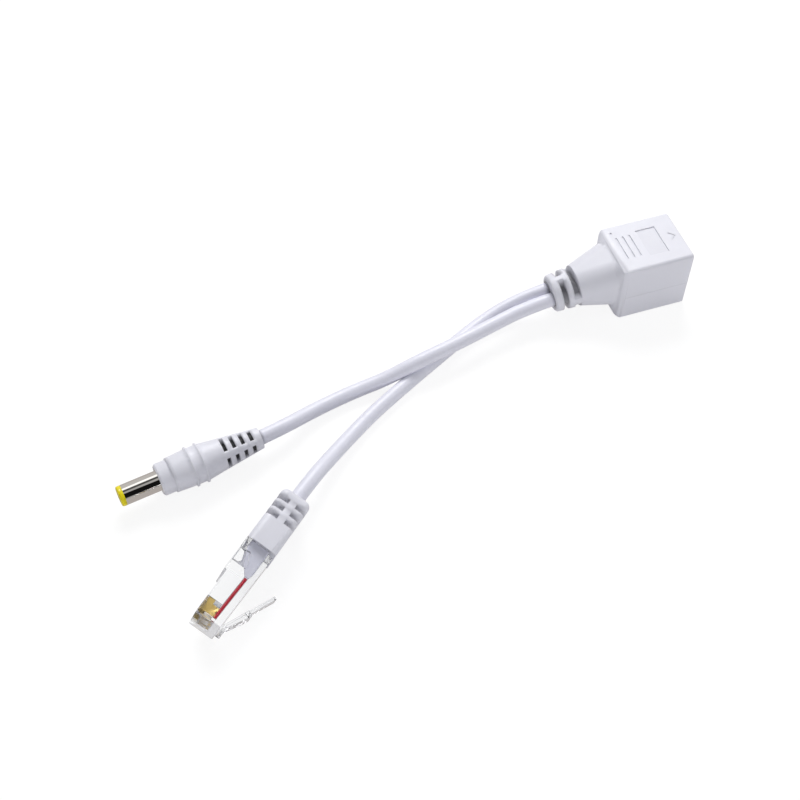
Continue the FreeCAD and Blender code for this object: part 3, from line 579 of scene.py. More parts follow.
@dataclass(frozen=True)
class ClearPlastic(Finish):
    """Clear hard plastic with faint flow marks, which lets light through to what it holds."""

    roughness: float = 0.03
    rough_shares: tuple[float, float] = (0.6, 1.6)
    tone_spread: float = 0.02
    # Painted shade: its colour, how soon faces turned from the view take it, and how far an edge's normals
    # bend before it takes it in full.
    painted_edge_shade: Colour = (0.3, 0.3, 0.34)
    rim_blend: float = 0.3
    edge_level: float = 0.94
    edge_radius: float = 0.00015
    waves_per_metre: float = 420.0
    wave_share: float = 0.95
    wave_depth: float = 0.00002
    wave_strength: float = 0.5
    refraction: float = 1.34
    shadow: Colour = (0.94, 0.94, 0.95)

    def surface(self, nodes: NodeTree) -> bpy.types.NodeSocket:
        """Writes the clear plastic's shader, with painted shade in its colour along edges and on turned-away
        faces.

        Args:
            nodes: The material's tree.

        Returns:
            The shader's socket.
        """
        skin = MouldedSkin().place(nodes, Waves_per_Metre=self.waves_per_metre, Wave_Share=self.wave_share)
        edge = nodes.add("ShaderNodeBevel", samples=EDGE_SAMPLES, Radius=self.edge_radius)
        bump = nodes.add(
            "ShaderNodeBump", Height=skin.outputs["Height"], Distance=self.wave_depth,
            Strength=self.wave_strength, Normal=edge.outputs["Normal"],
        )
        # Painted shade: rounded edges and faces turned from the view take the darker colour, in place of the
        # dark that clear plastic bends in there.
        turned = nodes.add("ShaderNodeLayerWeight", Blend=self.rim_blend, Normal=bump.outputs["Normal"])
        face = nodes.add("ShaderNodeNewGeometry")
        along = nodes.add(
            "ShaderNodeVectorMath", edge.outputs["Normal"], face.outputs["Normal"], operation="DOT_PRODUCT",
        )
        line = nodes.add(
            "ShaderNodeMapRange", Value=along.outputs["Value"], From_Min=1.0, From_Max=self.edge_level,
        )
        edge_shade_mask = nodes.calc("MAXIMUM", line.outputs["Result"], turned.outputs["Facing"])
        colour = nodes.blend("RGBA", edge_shade_mask, self.toned(nodes, skin.outputs["Tone"]), solid(self.painted_edge_shade))
        low, high = (self.roughness * share for share in self.rough_shares)
        shader = nodes.add(
            "ShaderNodeBsdfPrincipled", Base_Color=colour,
            Roughness=nodes.span(skin.outputs["Gloss"], low, high), Normal=bump.outputs["Normal"],
            Transmission_Weight=1.0, IOR=self.refraction,
        )
        clear = nodes.add("ShaderNodeBsdfTransparent", Color=solid(self.shadow))
        path = nodes.add("ShaderNodeLightPath")
        passing = nodes.calc("MAXIMUM", path.outputs["Is Shadow Ray"], path.outputs["Is Diffuse Ray"])
        return nodes.mix(passing, shader.outputs["BSDF"], clear.outputs["BSDF"])


FINISHES = (
    # The white overmould's painted shade in slots and holes goes down to 6 % of its colour.
    Plastic(Slot.WHITE, linear(229, 229, 237), roughness=0.42, pebble_depth=0.000012, painted_shade_share=0.06),
    Plastic(Slot.INSERT, linear(232, 232, 236), roughness=0.3, pebble_depth=0.000004, wave_share=0.8),
    Plastic(Slot.INNER, linear(205, 205, 208), roughness=0.55),
    Plastic(Slot.YELLOW, linear(240, 222, 4), roughness=0.3, pebble_depth=0.000004, tone_spread=0.06),
    Plastic(Slot.PALE_WIRE, linear(232, 228, 222), roughness=0.4, pebble_depth=0.000004),
    Plastic(Slot.RED_WIRE, linear(196, 30, 52), roughness=0.35, pebble_depth=0.000004, under_surface=0.05),
    Plastic(Slot.BLACK_WIRE, linear(26, 26, 28), roughness=0.4, pebble_depth=0.000004, under_surface=0.0),
    Jacket(Slot.JACKET, linear(232, 232, 243)),
    Metal(Slot.NICKEL, linear(224, 220, 215), roughness=0.05, mark_depth=0.0000007),
    Metal(Slot.TINNED, linear(205, 202, 196), roughness=0.28, mark_depth=0.000006),
    Metal(Slot.GOLD, linear(232, 202, 126), roughness=0.42),
    Metal(Slot.SOLDER, linear(190, 190, 194), roughness=0.35, mark_depth=0.00001),
    ClearPlastic(Slot.CLEAR, (0.97, 0.975, 0.98)),
)

# Material of each slot, which main fills.
MATERIALS: dict[Slot, bpy.types.Material] = {}


@dataclass(frozen=True)
class Lamp:
    """One soft lamp: where it stands, its width and height, its watts, and whether reflections show it."""

    name: str
    place: Point
    size: tuple[float, float]
    power: float
    mirrored: bool

    def build(self, target: Vector) -> None:
        """Makes the lamp.

        Args:
            target: The point that it faces.
        """
        data = bpy.data.lights.new(self.name, "AREA")
        data.shape = "RECTANGLE"
        data.size, data.size_y = self.size
        data.energy = self.power
        made = bpy.data.objects.new(self.name, data)
        made.visible_glossy = self.mirrored
        bpy.context.scene.collection.objects.link(made)
        made.location = self.place
        made.rotation_euler = (target - made.location).to_track_quat("-Z", "Y").to_euler()


@dataclass(frozen=True)
class Studio:
    """Pale floor, soft lamps and the camera."""

    camera_at: Point = (-0.136045, -0.21453, 0.27577)
    camera_to: Point = (-0.070375, -0.01737, 0.0)
    lens_mm: float = 56.25
    sensor_mm: float = 36.0
    clip_start: float = 0.005
    clip_end: float = 20.0
    floor_half: float = 3.0
    floor_paint: Colour = (0.82, 0.82, 0.83)
    floor_seen: float = 0.2
    floor_glow: float = 0.86
    floor_mirrored: Colour = (0.56, 0.53, 0.52)
    soft_light: Colour = (0.96, 0.97, 1.0)
    soft_strength: float = 0.42
    room_strength: float = 1.5
    room_front: Colour = (0.3, 0.29, 0.28)
    room_back: Colour = (0.44, 0.43, 0.42)
    room: tuple[tuple[float, float], ...] = (
        (0.04, 0.3), (0.075, 0.005), (0.345, 0.005), (0.36, 0.33), (0.45, 0.33), (0.465, 0.07), (0.575, 0.07),
        (0.59, 1.0), (0.7, 1.0), (0.72, 0.44),
    )
    lamps: tuple[Lamp, ...] = (
        Lamp("overhead", (0.1, 0.55, 0.62), (0.5, 0.35), 5.4, True),
        Lamp("front", (-0.1, -0.8, 0.12), (0.9, 0.06), 1.6, False),
    )

    def camera(self) -> None:
        """Makes the camera at the photograph's viewing angle."""
        data = bpy.data.cameras.new("camera")
        data.lens = self.lens_mm
        data.sensor_width = self.sensor_mm
        data.clip_start = self.clip_start
        data.clip_end = self.clip_end
        made = bpy.data.objects.new("camera", data)
        bpy.context.scene.collection.objects.link(made)
        made.location = self.camera_at
        sight = Vector(self.camera_to) - Vector(self.camera_at)
        made.rotation_euler = sight.to_track_quat("-Z", "Y").to_euler()
        bpy.context.scene.camera = made

    def floor_surface(self, nodes: NodeTree) -> bpy.types.NodeSocket:
        """Writes the floor's shader: near white where it is seen, grey in reflections, else plain paint.

        Args:
            nodes: The material's tree.

        Returns:
            The shader's socket.
        """
        paint = nodes.add("ShaderNodeBsdfDiffuse", Color=solid(self.floor_paint)).outputs["BSDF"]
        seen = nodes.add("ShaderNodeBsdfDiffuse", Color=grey(self.floor_seen)).outputs["BSDF"]
        glow = nodes.add("ShaderNodeEmission", Color=grey(1.0), Strength=self.floor_glow).outputs["Emission"]
        bright = nodes.add("ShaderNodeAddShader", seen, glow).outputs["Shader"]
        mirrored = nodes.add("ShaderNodeEmission", Color=solid(self.floor_mirrored)).outputs["Emission"]
        path = nodes.add("ShaderNodeLightPath")
        around = nodes.mix(path.outputs["Is Glossy Ray"], paint, mirrored)
        direct = nodes.calc("MAXIMUM", path.outputs["Is Camera Ray"], path.outputs["Is Transmission Ray"])
        return nodes.mix(direct, around, bright)

    def floor(self) -> None:
        """Makes the floor, which stays near white to the camera and keeps a soft shadow."""
        mesh = bpy.data.meshes.new("floor")
        reach = self.floor_half
        corners = [(-reach, -reach, 0.0), (reach, -reach, 0.0), (reach, reach, 0.0), (-reach, reach, 0.0)]
        mesh.from_pydata(corners, [], [(0, 1, 2, 3)])
        new_piece("floor", mesh)
        mesh.materials.append(material_of("floor", self.floor_surface))

    def world(self) -> None:
        """Makes the surroundings: white to the camera, soft light, and a darker room in reflections."""
        world = bpy.data.worlds.new("room")
        bpy.context.scene.world = world
        world.use_nodes = True
        nodes = NodeTree(world.node_tree)
        direction = nodes.add("ShaderNodeTexCoord")
        parts = nodes.add("ShaderNodeSeparateXYZ", Vector=direction.outputs["Generated"])
        rise = nodes.calc("ARCTAN2", parts.outputs["Z"], nodes.calc("MULTIPLY", parts.outputs["Y"], -1.0))
        room = nodes.add("ShaderNodeValToRGB", Fac=nodes.calc("DIVIDE", rise, math.pi))
        stops = room.color_ramp.elements
        stops[0].color = solid(self.room_front)
        stops[1].color = solid(self.room_back)
        for place, level in self.room:
            stops.new(place).color = grey(level)
        soft = nodes.add("ShaderNodeBackground", Color=solid(self.soft_light), Strength=self.soft_strength)
        mirrored = nodes.add("ShaderNodeBackground", Color=room.outputs["Color"], Strength=self.room_strength)
        white = nodes.add("ShaderNodeBackground", Color=grey(1.0))
        path = nodes.add("ShaderNodeLightPath")
        shiny = nodes.calc("MAXIMUM", path.outputs["Is Glossy Ray"], path.outputs["Is Transmission Ray"])
        around = nodes.mix(shiny, soft.outputs["Background"], mirrored.outputs["Background"])
        seen = nodes.mix(path.outputs["Is Camera Ray"], around, white.outputs["Background"])
        nodes.add("ShaderNodeOutputWorld", Surface=seen)

    def build(self) -> None:
        """Builds the floor, the surroundings and the lamps."""
        self.floor()
        self.world()
        for lamp in self.lamps:
            lamp.build(Vector(self.camera_to))
        bpy.context.scene.view_settings.view_transform = "Standard"


def new_piece(name: str, mesh: bpy.types.Mesh) -> bpy.types.Object:
    """Object of a finished mesh, at the origin.

    Args:
        name: The piece's name.
        mesh: Its mesh, in the row frame.

    Returns:
        The object.
    """
    made = bpy.data.objects.new(name, mesh)
    bpy.context.scene.collection.objects.link(made)
    return made


def dress(piece: bpy.types.Object, slot: Slot, body: Body, *nodes: str) -> bpy.types.Object:
    """Gives a piece its slot's material and its body, and hides the nodes that it replaces.

    Args:
        piece: The piece.
        slot: Its material slot.
        body: The body that it rides on.
        *nodes: The CAD nodes that it stands for.

    Returns:
        The same piece.
    """
    piece.data.materials.clear()
    piece.data.materials.append(MATERIALS[slot])
    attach(piece, body.value)
    if nodes:
        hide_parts(*nodes)
    LOG.info("piece %s rides on %s", piece.name, body.value)
    return piece


def finish_nodes(slots: dict[str, Slot]) -> None:
    """Gives CAD nodes that are shown as they are their materials.

    Args:
        slots: Each node's name with its material slot.
    """
    for node, slot in slots.items():
        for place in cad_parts[node].material_slots:
            place.material = MATERIALS[slot]
        LOG.info("node %s has %s", node, slot.value)


def numbered(stem: str, count: int) -> list[str]:
    """Names of a row of nodes, counted from 1."""
    return [f"{stem}_{number}" for number in range(1, count + 1)]


def wire_slots(stem: str, count: int) -> dict[str, Slot]:
    """Slots of a row of wires, of which the first is red."""
    first, *others = numbered(stem, count)
    return {first: Slot.RED_WIRE, **dict.fromkeys(others, Slot.PALE_WIRE)}


@contextmanager
def edited(mesh: bpy.types.Mesh) -> Iterator[bmesh.types.BMesh]:
    """Editable form of a mesh, which is written back at the end.

    Args:
        mesh: The mesh, which is changed.

    Yields:
        The editable form.
    """
    work = bmesh.new()
    work.from_mesh(mesh)
    yield work
    work.to_mesh(mesh)
    work.free()


def bake(piece: bpy.types.Object) -> None:
    """Makes what a piece's modifiers show its own plain mesh.

    Args:
        piece: The piece, which loses its modifiers.
    """
    bpy.context.view_layer.update()
    shown = piece.evaluated_get(bpy.context.evaluated_depsgraph_get())
    mesh = bpy.data.meshes.new_from_object(shown)
    piece.modifiers.clear()
    piece.data = mesh


def softened(name: str, node: str, angle: float = 28.0) -> bpy.types.Object:
    """Copy of a CAD node with merged points and smooth round faces, whose flat faces stay flat.

    Args:
        name: The new piece's name.
        node: The CAD node to copy.
        angle: Least angle in degrees at which an edge stays sharp.

    Returns:
        The new object.
    """
    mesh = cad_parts[node].data.copy()
    mesh.name = name
    with edited(mesh) as work:
        bmesh.ops.remove_doubles(work, verts=work.verts, dist=MERGE_LENGTH)
        bmesh.ops.dissolve_degenerate(work, edges=work.edges, dist=SLIVER_LENGTH)
    for polygon in mesh.polygons:
        polygon.use_smooth = True
    mesh.set_sharp_from_angle(angle=math.radians(angle))
    return new_piece(name, mesh)


def even_normals(piece: bpy.types.Object) -> None:
    """Weighs a piece's normals by the size of its faces, and keeps its sharp edges.

    Args:
        piece: The piece, whose mesh is changed.
    """
    modifier = piece.modifiers.new("even_normals", "WEIGHTED_NORMAL")
    modifier.keep_sharp = True
    modifier.weight = NORMAL_WEIGHT
    bake(piece)


def level_normals(piece: bpy.types.Object) -> None:
    """Gives flat faces along the row frame, and corners that meet them smoothly, the flat face's normal.

    Args:
        piece: The piece, whose mesh is changed.
    """
    mesh = piece.data
    normals = [corner.vector.copy() for corner in mesh.corner_normals]
    levels: dict[int, list[Vector]] = {}
    for polygon in mesh.polygons:
        if max(abs(part) for part in polygon.normal) > FLAT_SHARE:
            for vertex in polygon.vertices:
                levels.setdefault(vertex, []).append(polygon.normal.copy())
    for polygon in mesh.polygons:
        for corner, vertex in zip(polygon.loop_indices, polygon.vertices):
            near = [level for level in levels.get(vertex, []) if level.dot(polygon.normal) > SMOOTH_SHARE]
            if near:
                normals[corner] = max(near, key=lambda level: level.dot(polygon.normal))
    mesh.normals_split_custom_set(normals)


def mark_painted_shade(mesh: bpy.types.Mesh, painted_shade: Callable[[Vector], float]) -> None:
    """Writes the painted shade of each point of a mesh, which grows with how deep it lies in a slot or hole.

    Args:
        mesh: The mesh.
        painted_shade: Gives the painted shade of a point of the mesh: 0 on the open surface and more in a
            recess, up to 1.
    """
    layer = mesh.attributes.new(PAINTED_SHADE_ATTRIBUTE, "FLOAT", "POINT")
    layer.data.foreach_set("value", [painted_shade(vertex.co) for vertex in mesh.vertices])


def sunk_share(reach: float, outer: float, inner: float) -> float:
    """Share from 0 to 1 of the way down from an outer radius to an inner one."""
    return min(max((outer - reach) / (outer - inner), 0.0), 1.0)


def moulded(
    name: str, node: str, slot: Slot, body: Body = Body.ROOT, painted_shade: Callable[[Vector], float] | None = None,
) -> bpy.types.Object:
    """Dressed copy of one CAD node with even shading.

    Args:
        name: The new piece's name.
        node: The CAD node that it copies and replaces.
        slot: Its material slot.
        body: The body that it rides on.
        painted_shade: Gives the painted shade of a point by how deep it lies in a recess, for a piece that
            has one.

    Returns:
        The new object.
    """
    piece = softened(name, node)
    even_normals(piece)
    if painted_shade is not None:
        mark_painted_shade(piece.data, painted_shade)
    return dress(piece, slot, body, node)


@dataclass(frozen=True)
class PlugFrame:
    """Where a plug lies: its rear middle, and the directions of its tip, its one side and its top."""

    rear: Vector
    tip: Vector
    side: Vector
    top: Vector

    def local(self, place: Vector) -> Vector:
        """Point of the row frame in the plug's own directions."""
        run = place - self.rear
        return Vector((run.dot(self.tip), run.dot(self.side), run.dot(self.top)))

    def world(self, along: float, across: float, up: float) -> Vector:
        """Point of the plug's own directions in the row frame."""
        return self.rear + self.tip * along + self.side * across + self.top * up


def lying_plug(rear: Point, heading: float, roll: float) -> PlugFrame:
    """Frame of a plug that lies on the floor.

    Args:
        rear: Middle of the plug's rear face.
        heading: Turn of its tip about the vertical, in degrees.
        roll: Roll about its own length, in degrees.

    Returns:
        The frame.
    """
    turn = Matrix.Rotation(math.radians(heading), 3, "Z") @ Matrix.Rotation(math.radians(-roll), 3, "X")
    return PlugFrame(Vector(rear), turn.col[0].copy(), turn.col[1].copy(), turn.col[2].copy())


DC_ROUTE = (
    (-0.01914, -0.00205, 0.00726),
    (-0.02805, -0.00215, 0.00625),
    (-0.03900, -0.00480, 0.00590),
    (-0.05000, -0.00790, 0.00615),
    (-0.06250, -0.01060, 0.00600),
    (-0.07250, -0.01130, 0.00290),
    (-0.08100, -0.01190, 0.00205),
    (-0.08880, -0.01350, 0.00210),
    (-0.09610, -0.01590, 0.00290),
    (-0.10350, -0.01980, 0.00540),
    (-0.11080, -0.02156, 0.00552),
)

DATA_ROUTE = (
    (-0.01914, 0.00205, 0.00726),
    (-0.02805, 0.00235, 0.00530),
    (-0.03850, 0.00040, 0.00300),
    (-0.05150, -0.00560, 0.00202),
    (-0.06650, -0.01360, 0.00202),
    (-0.07900, -0.02060, 0.00202),
    (-0.08700, -0.02620, 0.00240),
    (-0.09450, -0.03250, 0.00420),
    (-0.10181, -0.03942, 0.00690),
    (-0.10778, -0.04475, 0.00690),
)

BARREL_PLUG_FRAME = lying_plug(rear=DC_ROUTE[-1], heading=189.5, roll=0.0)
NETWORK_PLUG_FRAME = lying_plug(rear=(-0.1203, -0.05595, 0.0069), heading=221.8, roll=20.8)


@dataclass(frozen=True)
class Row:
    """Geometry Nodes tree that repeats a mesh along one line."""

    name: str
    count: int
    step: Vector
    slot: Slot

    def tree(self) -> bpy.types.NodeTree:
        """Builds the tree.

        Returns:
            The tree, with inputs for the count, the step and the finish.
        """
        tree = bpy.data.node_groups.new(self.name, "GeometryNodeTree")
        inputs = {
            "Geometry": ("NodeSocketGeometry", None),
            "Count": ("NodeSocketInt", None),
            "Step": ("NodeSocketVector", None),
            "Finish": ("NodeSocketMaterial", None),
        }
        group_sockets(tree, inputs, {"Geometry": "NodeSocketGeometry"})
        nodes = NodeTree(tree)
        given = nodes.add("NodeGroupInput")
        line = nodes.add(
            "GeometryNodeMeshLine", mode="OFFSET", Count=given.outputs["Count"], Offset=given.outputs["Step"],
        )
        placed = nodes.add(
            "GeometryNodeInstanceOnPoints", Points=line.outputs["Mesh"], Instance=given.outputs["Geometry"],
        )
        whole = nodes.add("GeometryNodeRealizeInstances", Geometry=placed.outputs["Instances"])
        painted = nodes.add(
            "GeometryNodeSetMaterial", Geometry=whole.outputs["Geometry"], Material=given.outputs["Finish"],
        )
        nodes.add("NodeGroupOutput", Geometry=painted.outputs["Geometry"])
        return tree

    def build(self, first: bpy.types.Object) -> bpy.types.Object:
        """Turns the first piece of the row into the whole row.

        Args:
            first: The first piece, which becomes the row.

        Returns:
            The row's object, with a plain mesh.
        """
        modifier = first.modifiers.new(self.name, "NODES")
        modifier.node_group = self.tree()
        values = {"Count": self.count, "Step": tuple(self.step), "Finish": MATERIALS[self.slot]}
        for item in modifier.node_group.interface.items_tree:
            if item.in_out == "INPUT" and item.name in values:
                modifier[item.identifier] = values[item.name]
        bake(first)
        LOG.info("row %s has %d pieces", self.name, self.count)
        return first


@dataclass(frozen=True)
class Cord:
    """A free cord: its route as a smooth spline, and a round jacket along it."""

    name: str
    node: str
    route: tuple[Point, ...]
    length: float
    with_nodes: tuple[str, ...]
    diameter: float = 0.004
    sides: int = 32
    steps: int = 14
    spline_order: int = 3

    def spline(self) -> list[Vector]:
        """Points of the route's smooth spline.

        Returns:
            The points along the cord's middle, in the row frame.
        """
        data = bpy.data.curves.new(self.name + "_line", "CURVE")
        data.dimensions = "3D"
        data.resolution_u = self.steps
        line = data.splines.new("NURBS")
        line.points.add(len(self.route) - 1)
        for point, place in zip(line.points, self.route):
            point.co = (*place, 1.0)
        line.order_u = self.spline_order
        line.use_endpoint_u = True
        carrier = bpy.data.objects.new(self.name + "_line", data)
        bare = bpy.data.meshes.new_from_object(carrier)
        points = [vertex.co.copy() for vertex in bare.vertices]
        bpy.data.meshes.remove(bare)
        bpy.data.objects.remove(carrier)
        bpy.data.curves.remove(data)
        return points

    def build(self, with_pieces: list[bpy.types.Object]) -> bpy.types.Object:
        """Args:
            with_pieces: Pieces on the cord that replace CAD nodes.

        Returns:
            The cord's object.
        """
        path = self.spline()
        mesh = tube(self.name, path, self.diameter / 2, self.sides)
        piece = dress(new_piece(self.name, mesh), Slot.JACKET, Body.ROOT, self.node)
        carried = list(with_pieces) + [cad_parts[node] for node in self.with_nodes]
        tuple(self.route[0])
        [tuple(point) for point in path]
        return piece


def tube(name: str, path: list[Vector], radius: float, sides: int) -> bpy.types.Mesh:
    """Closed round tube along a path, with a UV map that runs along and around it.

    Args:
        name: The mesh's name.
        path: Points along the middle.
        radius: The tube's radius.
        sides: Faces around it.

    Returns:
        The mesh.
    """
    mesh = bpy.data.meshes.new(name)
    with edited(mesh) as work:
        layer = work.loops.layers.uv.new(UV_MAP)
        side = Vector((0.0, 0.0, 1.0))
        rings = []
        travelled = [0.0]
        for before, after in zip(path, path[1:]):
            travelled.append(travelled[-1] + (after - before).length)
        for index, place in enumerate(path):
            ahead = path[min(index + 1, len(path) - 1)] - path[max(index - 1, 0)]
            ahead.normalize()
            side = (side - ahead * side.dot(ahead)).normalized()
            other = ahead.cross(side)
            angles = [math.tau * step / sides for step in range(sides)]
            around = [(side * math.cos(angle) + other * math.sin(angle)) * radius for angle in angles]
            rings.append([work.verts.new(place + spoke) for spoke in around])
        for index, (ring, following) in enumerate(zip(rings, rings[1:])):
            for step in range(sides):
                after = (step + 1) % sides
                face = work.faces.new((ring[step], ring[after], following[after], following[step]))
                face.smooth = True
                shares = (step / sides, (step + 1) / sides, (step + 1) / sides, step / sides)
                places = (travelled[index], travelled[index], travelled[index + 1], travelled[index + 1])
                for loop, along, share in zip(face.loops, places, shares):
                    loop[layer].uv = (along * UV_PER_METRE, share)
        work.faces.new(list(reversed(rings[0])))
        work.faces.new(rings[-1])
    return mesh


@dataclass(frozen=True)
class SocketEnd:
    """The white housing with its socket inside, and its neck, which droops by some degrees."""

    rear_x: float = -0.0025025
    axis_z: float = 0.0096
    height: float = 0.0192
    half_width: float = 0.0092
    mark_depth: float = 0.00025
    droop: float = 8.0
    neck_length: float = 0.0094
    cord_side: float = 0.00205
    open_radius: float = 0.0031
    core_radius: float = 0.0024
    parting_height: float = 0.0082
    parting_half: float = 0.00009
    parting_depth: float = 0.00006
    hold_gap: float = 0.0003
    # Painted shade, as a share of full darkening: in the middle of the parting line, on the floor of the
    # sunken marks and at the bottom of the strain relief's slots.
    parting_shade: float = 0.25
    mark_shade: float = 0.04
    slot_shade: float = 0.65
    leads: int = 4

    def painted_shade(self, place: Vector) -> float:
        """How much painted shade a point gets: in the parting line, in the marks or in the slots of the
        strain relief.

        Args:
            place: A point of the housing.

        Returns:
            From 0 on the open surface to the slots' painted shade at their bottom.
        """
        if self.in_parting(place) and self.in_middle(place):
            return self.parting_shade
        lean = math.radians(self.droop)
        behind = self.rear_x - place.x
        below = self.axis_z - place.z
        along = behind * math.cos(lean) + below * math.sin(lean)
        if along < self.neck_length - self.hold_gap:
            sunk = abs(place.z - (self.height - self.mark_depth)) < self.mark_depth / 4
            return self.mark_shade if sunk else 0.0
        rise = behind * math.sin(lean) - below * math.cos(lean)
        reach = math.hypot(max(abs(place.y) - self.cord_side, 0.0), rise)
        return self.slot_shade * sunk_share(reach, self.open_radius, self.core_radius)

    def on_long_side(self, place: Vector, sunk: float = 0.0) -> bool:
        """Whether a point lies on a long side of the housing, or at most so far under it."""
        return abs(place.y) > self.half_width - sunk - SIDE_SLACK

    def in_middle(self, place: Vector) -> bool:
        """Whether a point lies at the height of the parting line's middle."""
        return abs(place.z - self.parting_height) < LEVEL_SLACK

    def in_parting(self, place: Vector) -> bool:
        """Whether a point lies in the parting line."""
        within = abs(place.z - self.parting_height) < self.parting_half + LEVEL_SLACK
        return within and self.on_long_side(place, self.parting_depth)

    def groove(self, mesh: bpy.types.Mesh) -> None:
        """Cuts the fine parting line into the two long sides of the housing.

        Args:
            mesh: The housing's mesh, which is changed.
        """
        with edited(mesh) as work:
            for height in (-self.parting_half, 0.0, self.parting_half):
                side = [face for face in work.faces if self.on_long_side(face.calc_center_median())]
                edges = [edge for edge in work.edges if any(face in side for face in edge.link_faces)]
                verts = [vert for vert in work.verts if self.on_long_side(vert.co)]
                level = Vector((0.0, 0.0, self.parting_height + height))
                bmesh.ops.bisect_plane(
                    work, geom=side + edges + verts, plane_co=level, plane_no=(0.0, 0.0, 1.0),
                )
            for vert in work.verts:
                if self.on_long_side(vert.co) and self.in_middle(vert.co):
                    vert.co.y -= math.copysign(self.parting_depth, vert.co.y)
            for edge in work.edges:
                if all(self.in_parting(vert.co) for vert in edge.verts):
                    edge.smooth = False

    def hold_neck(self, mesh: bpy.types.Mesh) -> None:
        """Cuts the neck's long faces near both ends, so that its shading stays even between them.

        Args:
            mesh: The housing's mesh, which is changed.
        """
        lean = math.radians(self.droop)
        axis = Vector((-math.cos(lean), 0.0, -math.sin(lean)))
        start = Vector((self.rear_x, 0.0, self.axis_z))
        cuts = (
            (start + axis * (self.neck_length - self.hold_gap), axis),
            (start - Vector((self.hold_gap, 0.0, 0.0)), Vector((1.0, 0.0, 0.0))),
        )
        with edited(mesh) as work:
            for place, way in cuts:
                geometry = [*work.verts, *work.edges, *work.faces]
                bmesh.ops.bisect_plane(work, geom=geometry, plane_co=place, plane_no=way)

    def housing(self) -> bpy.types.Object:
        """Builds the white housing with its neck and strain relief.

        Returns:
            The housing.
        """
        piece = softened("socket_housing", "socket_overmould")
        self.groove(piece.data)
        self.hold_neck(piece.data)
        even_normals(piece)
        level_normals(piece)
        mark_painted_shade(piece.data, self.painted_shade)
        return dress(piece, Slot.WHITE, Body.ROOT, "socket_overmould")

    def springs(self) -> bpy.types.Object:
        """Builds the row of spring contacts.

        Returns:
            The row.
        """
        first = softened("socket_springs", "socket_contact_1")
        row = Row("spring_row", PINS, Vector((0.0, PIN_PITCH, 0.0)), Slot.GOLD)
        return dress(row.build(first), Slot.GOLD, Body.ROOT, *numbered("socket_contact", PINS))

    def build(self) -> None:
        """Builds and dresses the pieces of the socket end."""
        self.housing()
        self.springs()
        dress(softened("socket_liner", "socket_insert"), Slot.INSERT, Body.ROOT, "socket_insert")
        finish_nodes({
            "contact_carrier": Slot.INSERT,
            "socket_inner_mould": Slot.INNER,
            "socket_solder_joints": Slot.SOLDER,
            "socket_positive_lead": Slot.RED_WIRE,
            "socket_negative_lead": Slot.BLACK_WIRE,
            "socket_dc_cable_end": Slot.JACKET,
            "socket_data_cable_end": Slot.JACKET,
            **wire_slots("socket_data_lead", self.leads),
        })


@dataclass(frozen=True)
class BarrelPlug:
    """The white grip with its plated barrel and yellow tip."""

    window_end: float = 0.0116
    # Painted shade in the grip's windows grows from the first radius down to the second.
    open_radius: float = 0.0029
    core_radius: float = 0.0024

    def inner_slots(self) -> dict[str, Slot]:
        """Slots of the CAD nodes inside the plug."""
        return {
            "dc_centre_contact": Slot.TINNED,
            "dc_inner_mould": Slot.INNER,
            "dc_positive_lead": Slot.RED_WIRE,
            "dc_negative_lead": Slot.BLACK_WIRE,
            "dc_solder_joints": Slot.SOLDER,
            "dc_cable_end": Slot.JACKET,
        }

    def painted_shade(self, place: Vector) -> float:
        """How much painted shade a point of the grip gets, by how deep it lies in its windows.

        Args:
            place: A point of the grip.

        Returns:
            From 0 on the open surface to 1 at the bottom of a window.
        """
        along, across, up = BARREL_PLUG_FRAME.local(place)
        if along > self.window_end:
            return 0.0
        return sunk_share(math.hypot(across, up), self.open_radius, self.core_radius)

    def build(self) -> list[bpy.types.Object]:
        """Builds and dresses the pieces of the barrel plug.

        Returns:
            The pieces that replace CAD nodes.
        """
        grip = moulded("barrel_grip", "dc_grip", Slot.WHITE, painted_shade=self.painted_shade)
        sleeve = moulded("barrel_shell", "dc_barrel_sleeve", Slot.NICKEL)
        tip = dress(softened("barrel_tip", "dc_insulator"), Slot.YELLOW, Body.ROOT, "dc_insulator")
        finish_nodes(self.inner_slots())
        return [grip, sleeve, tip]


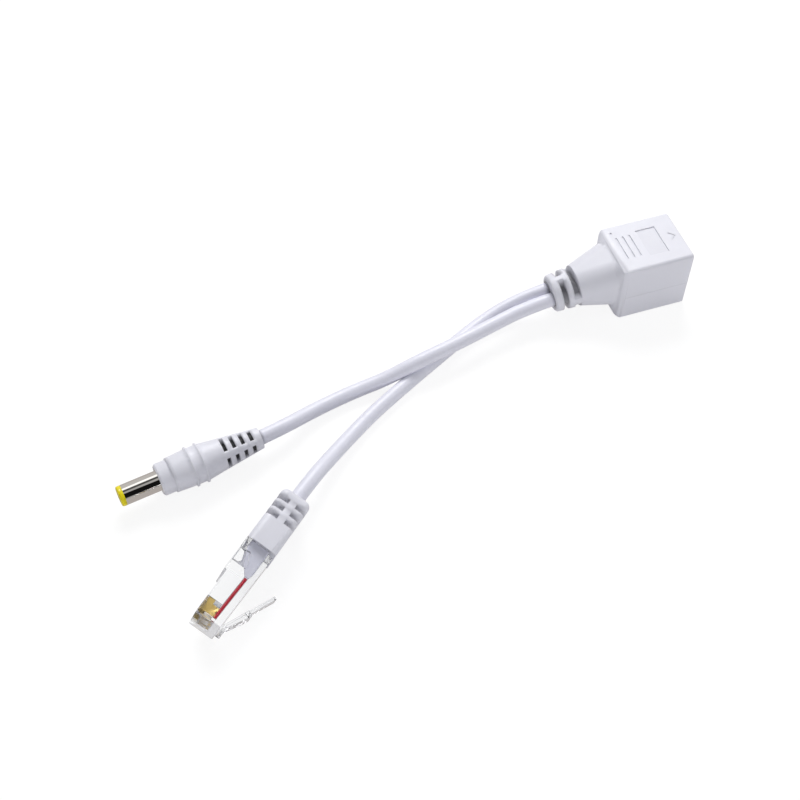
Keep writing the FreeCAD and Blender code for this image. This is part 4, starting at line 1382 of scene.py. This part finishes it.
@dataclass(frozen=True)
class NetworkPlug:
    """The clear plug with its boot, blades, wires and latch."""

    slot_half_height: float = 0.00292
    slot_half_width: float = 0.00467
    slot_span: tuple[float, float] = (-0.0168, -0.0070)
    # Painted shade in the boot's slots.
    slot_shade: float = 0.2
    wires: int = 4
    guide_span: tuple[float, float] = (0.0094, 0.0166)
    guide_levels: tuple[float, float] = (0.00106, 0.00084)
    guide_height: float = 0.0005
    guide_thickness: float = 0.00014

    def inner_slots(self) -> dict[str, Slot]:
        """Slots of the CAD nodes inside the plug."""
        return {"plug_cable_end": Slot.JACKET, **wire_slots("plug_wire", self.wires)}

    def painted_shade(self, place: Vector) -> float:
        """How much painted shade a point of the boot gets.

        Args:
            place: A point of the boot.

        Returns:
            The slots' painted shade inside a slot, otherwise 0.
        """
        along, across, up = NETWORK_PLUG_FRAME.local(place)
        inside = abs(across) < self.slot_half_height and abs(up) < self.slot_half_width
        return self.slot_shade if inside and self.slot_span[0] < along < self.slot_span[1] else 0.0

    def pin_row(self, first: bpy.types.Object, name: str, count: int, slot: Slot) -> bpy.types.Object:
        """Repeats a piece across the plug, at the pitch of its blades.

        Args:
            first: The first piece, which becomes the row.
            name: The row's name.
            count: How many pieces it has.
            slot: Their material slot.

        Returns:
            The row.
        """
        return Row(name, count, NETWORK_PLUG_FRAME.top * -PIN_PITCH, slot).build(first)

    def blade_row(self) -> bpy.types.Object:
        """Builds the row of gold blades.

        Returns:
            The row.
        """
        row = self.pin_row(softened("plug_blades", "plug_blade_1"), "blade_row", PINS, Slot.GOLD)
        return dress(row, Slot.GOLD, Body.ROOT, *numbered("plug_blade", PINS))

    def guide_row(self) -> bpy.types.Object:
        """Builds the fine clear fins that keep the wires apart, one between each two blades.

        Returns:
            The row.
        """
        top = PIN_PITCH * (PINS - 2) / 2 + self.guide_thickness / 2
        corners = []
        for up in (top - self.guide_thickness, top):
            for along, level in zip(self.guide_span, self.guide_levels):
                corners.append(NETWORK_PLUG_FRAME.world(along, level, up))
                corners.append(NETWORK_PLUG_FRAME.world(along, level + self.guide_height, up))
        faces = [(0, 1, 3, 2), (4, 6, 7, 5), (0, 4, 5, 1), (2, 3, 7, 6), (0, 2, 6, 4), (1, 5, 7, 3)]
        mesh = bpy.data.meshes.new("plug_guides")
        mesh.from_pydata([tuple(corner) for corner in corners], [], faces)
        with edited(mesh) as work:
            bmesh.ops.recalc_face_normals(work, faces=work.faces)
        row = self.pin_row(new_piece("plug_guides", mesh), "guide_row", PINS - 1, Slot.CLEAR)
        return dress(row, Slot.CLEAR, Body.ROOT)

    def build(self) -> list[bpy.types.Object]:
        """Builds and dresses the pieces of the network plug.

        Returns:
            The pieces of the plug, which are handed to its cord.
        """
        boot = moulded("plug_boot_cover", "plug_boot", Slot.WHITE, painted_shade=self.painted_shade)
        body = moulded("plug_shell", "plug_body", Slot.CLEAR)
        latch = moulded("plug_tab", "plug_latch", Slot.CLEAR, Body.LATCH)
        finish_nodes(self.inner_slots())
        return [boot, body, latch, self.blade_row(), self.guide_row()]


def main() -> None:
    """Builds the scene."""
    logging.basicConfig(level=logging.INFO, format="%(name)s: %(message)s")
    studio = Studio()
    studio.camera()
    for finish in FINISHES:
        MATERIALS[finish.slot] = finish.material()
    barrel, network = BarrelPlug(), NetworkPlug()
    barrel_pieces = barrel.build()
    network_pieces = network.build()
    dc_nodes = tuple(barrel.inner_slots())
    Cord("power_cord", "dc_cord", DC_ROUTE, 0.0958, dc_nodes).build(barrel_pieces)
    data_nodes = tuple(network.inner_slots())
    Cord("network_cord", "data_cord", DATA_ROUTE, 0.1036, data_nodes).build(network_pieces)
    SocketEnd().build()
    studio.build()


if __name__ == "__main__":
    main()
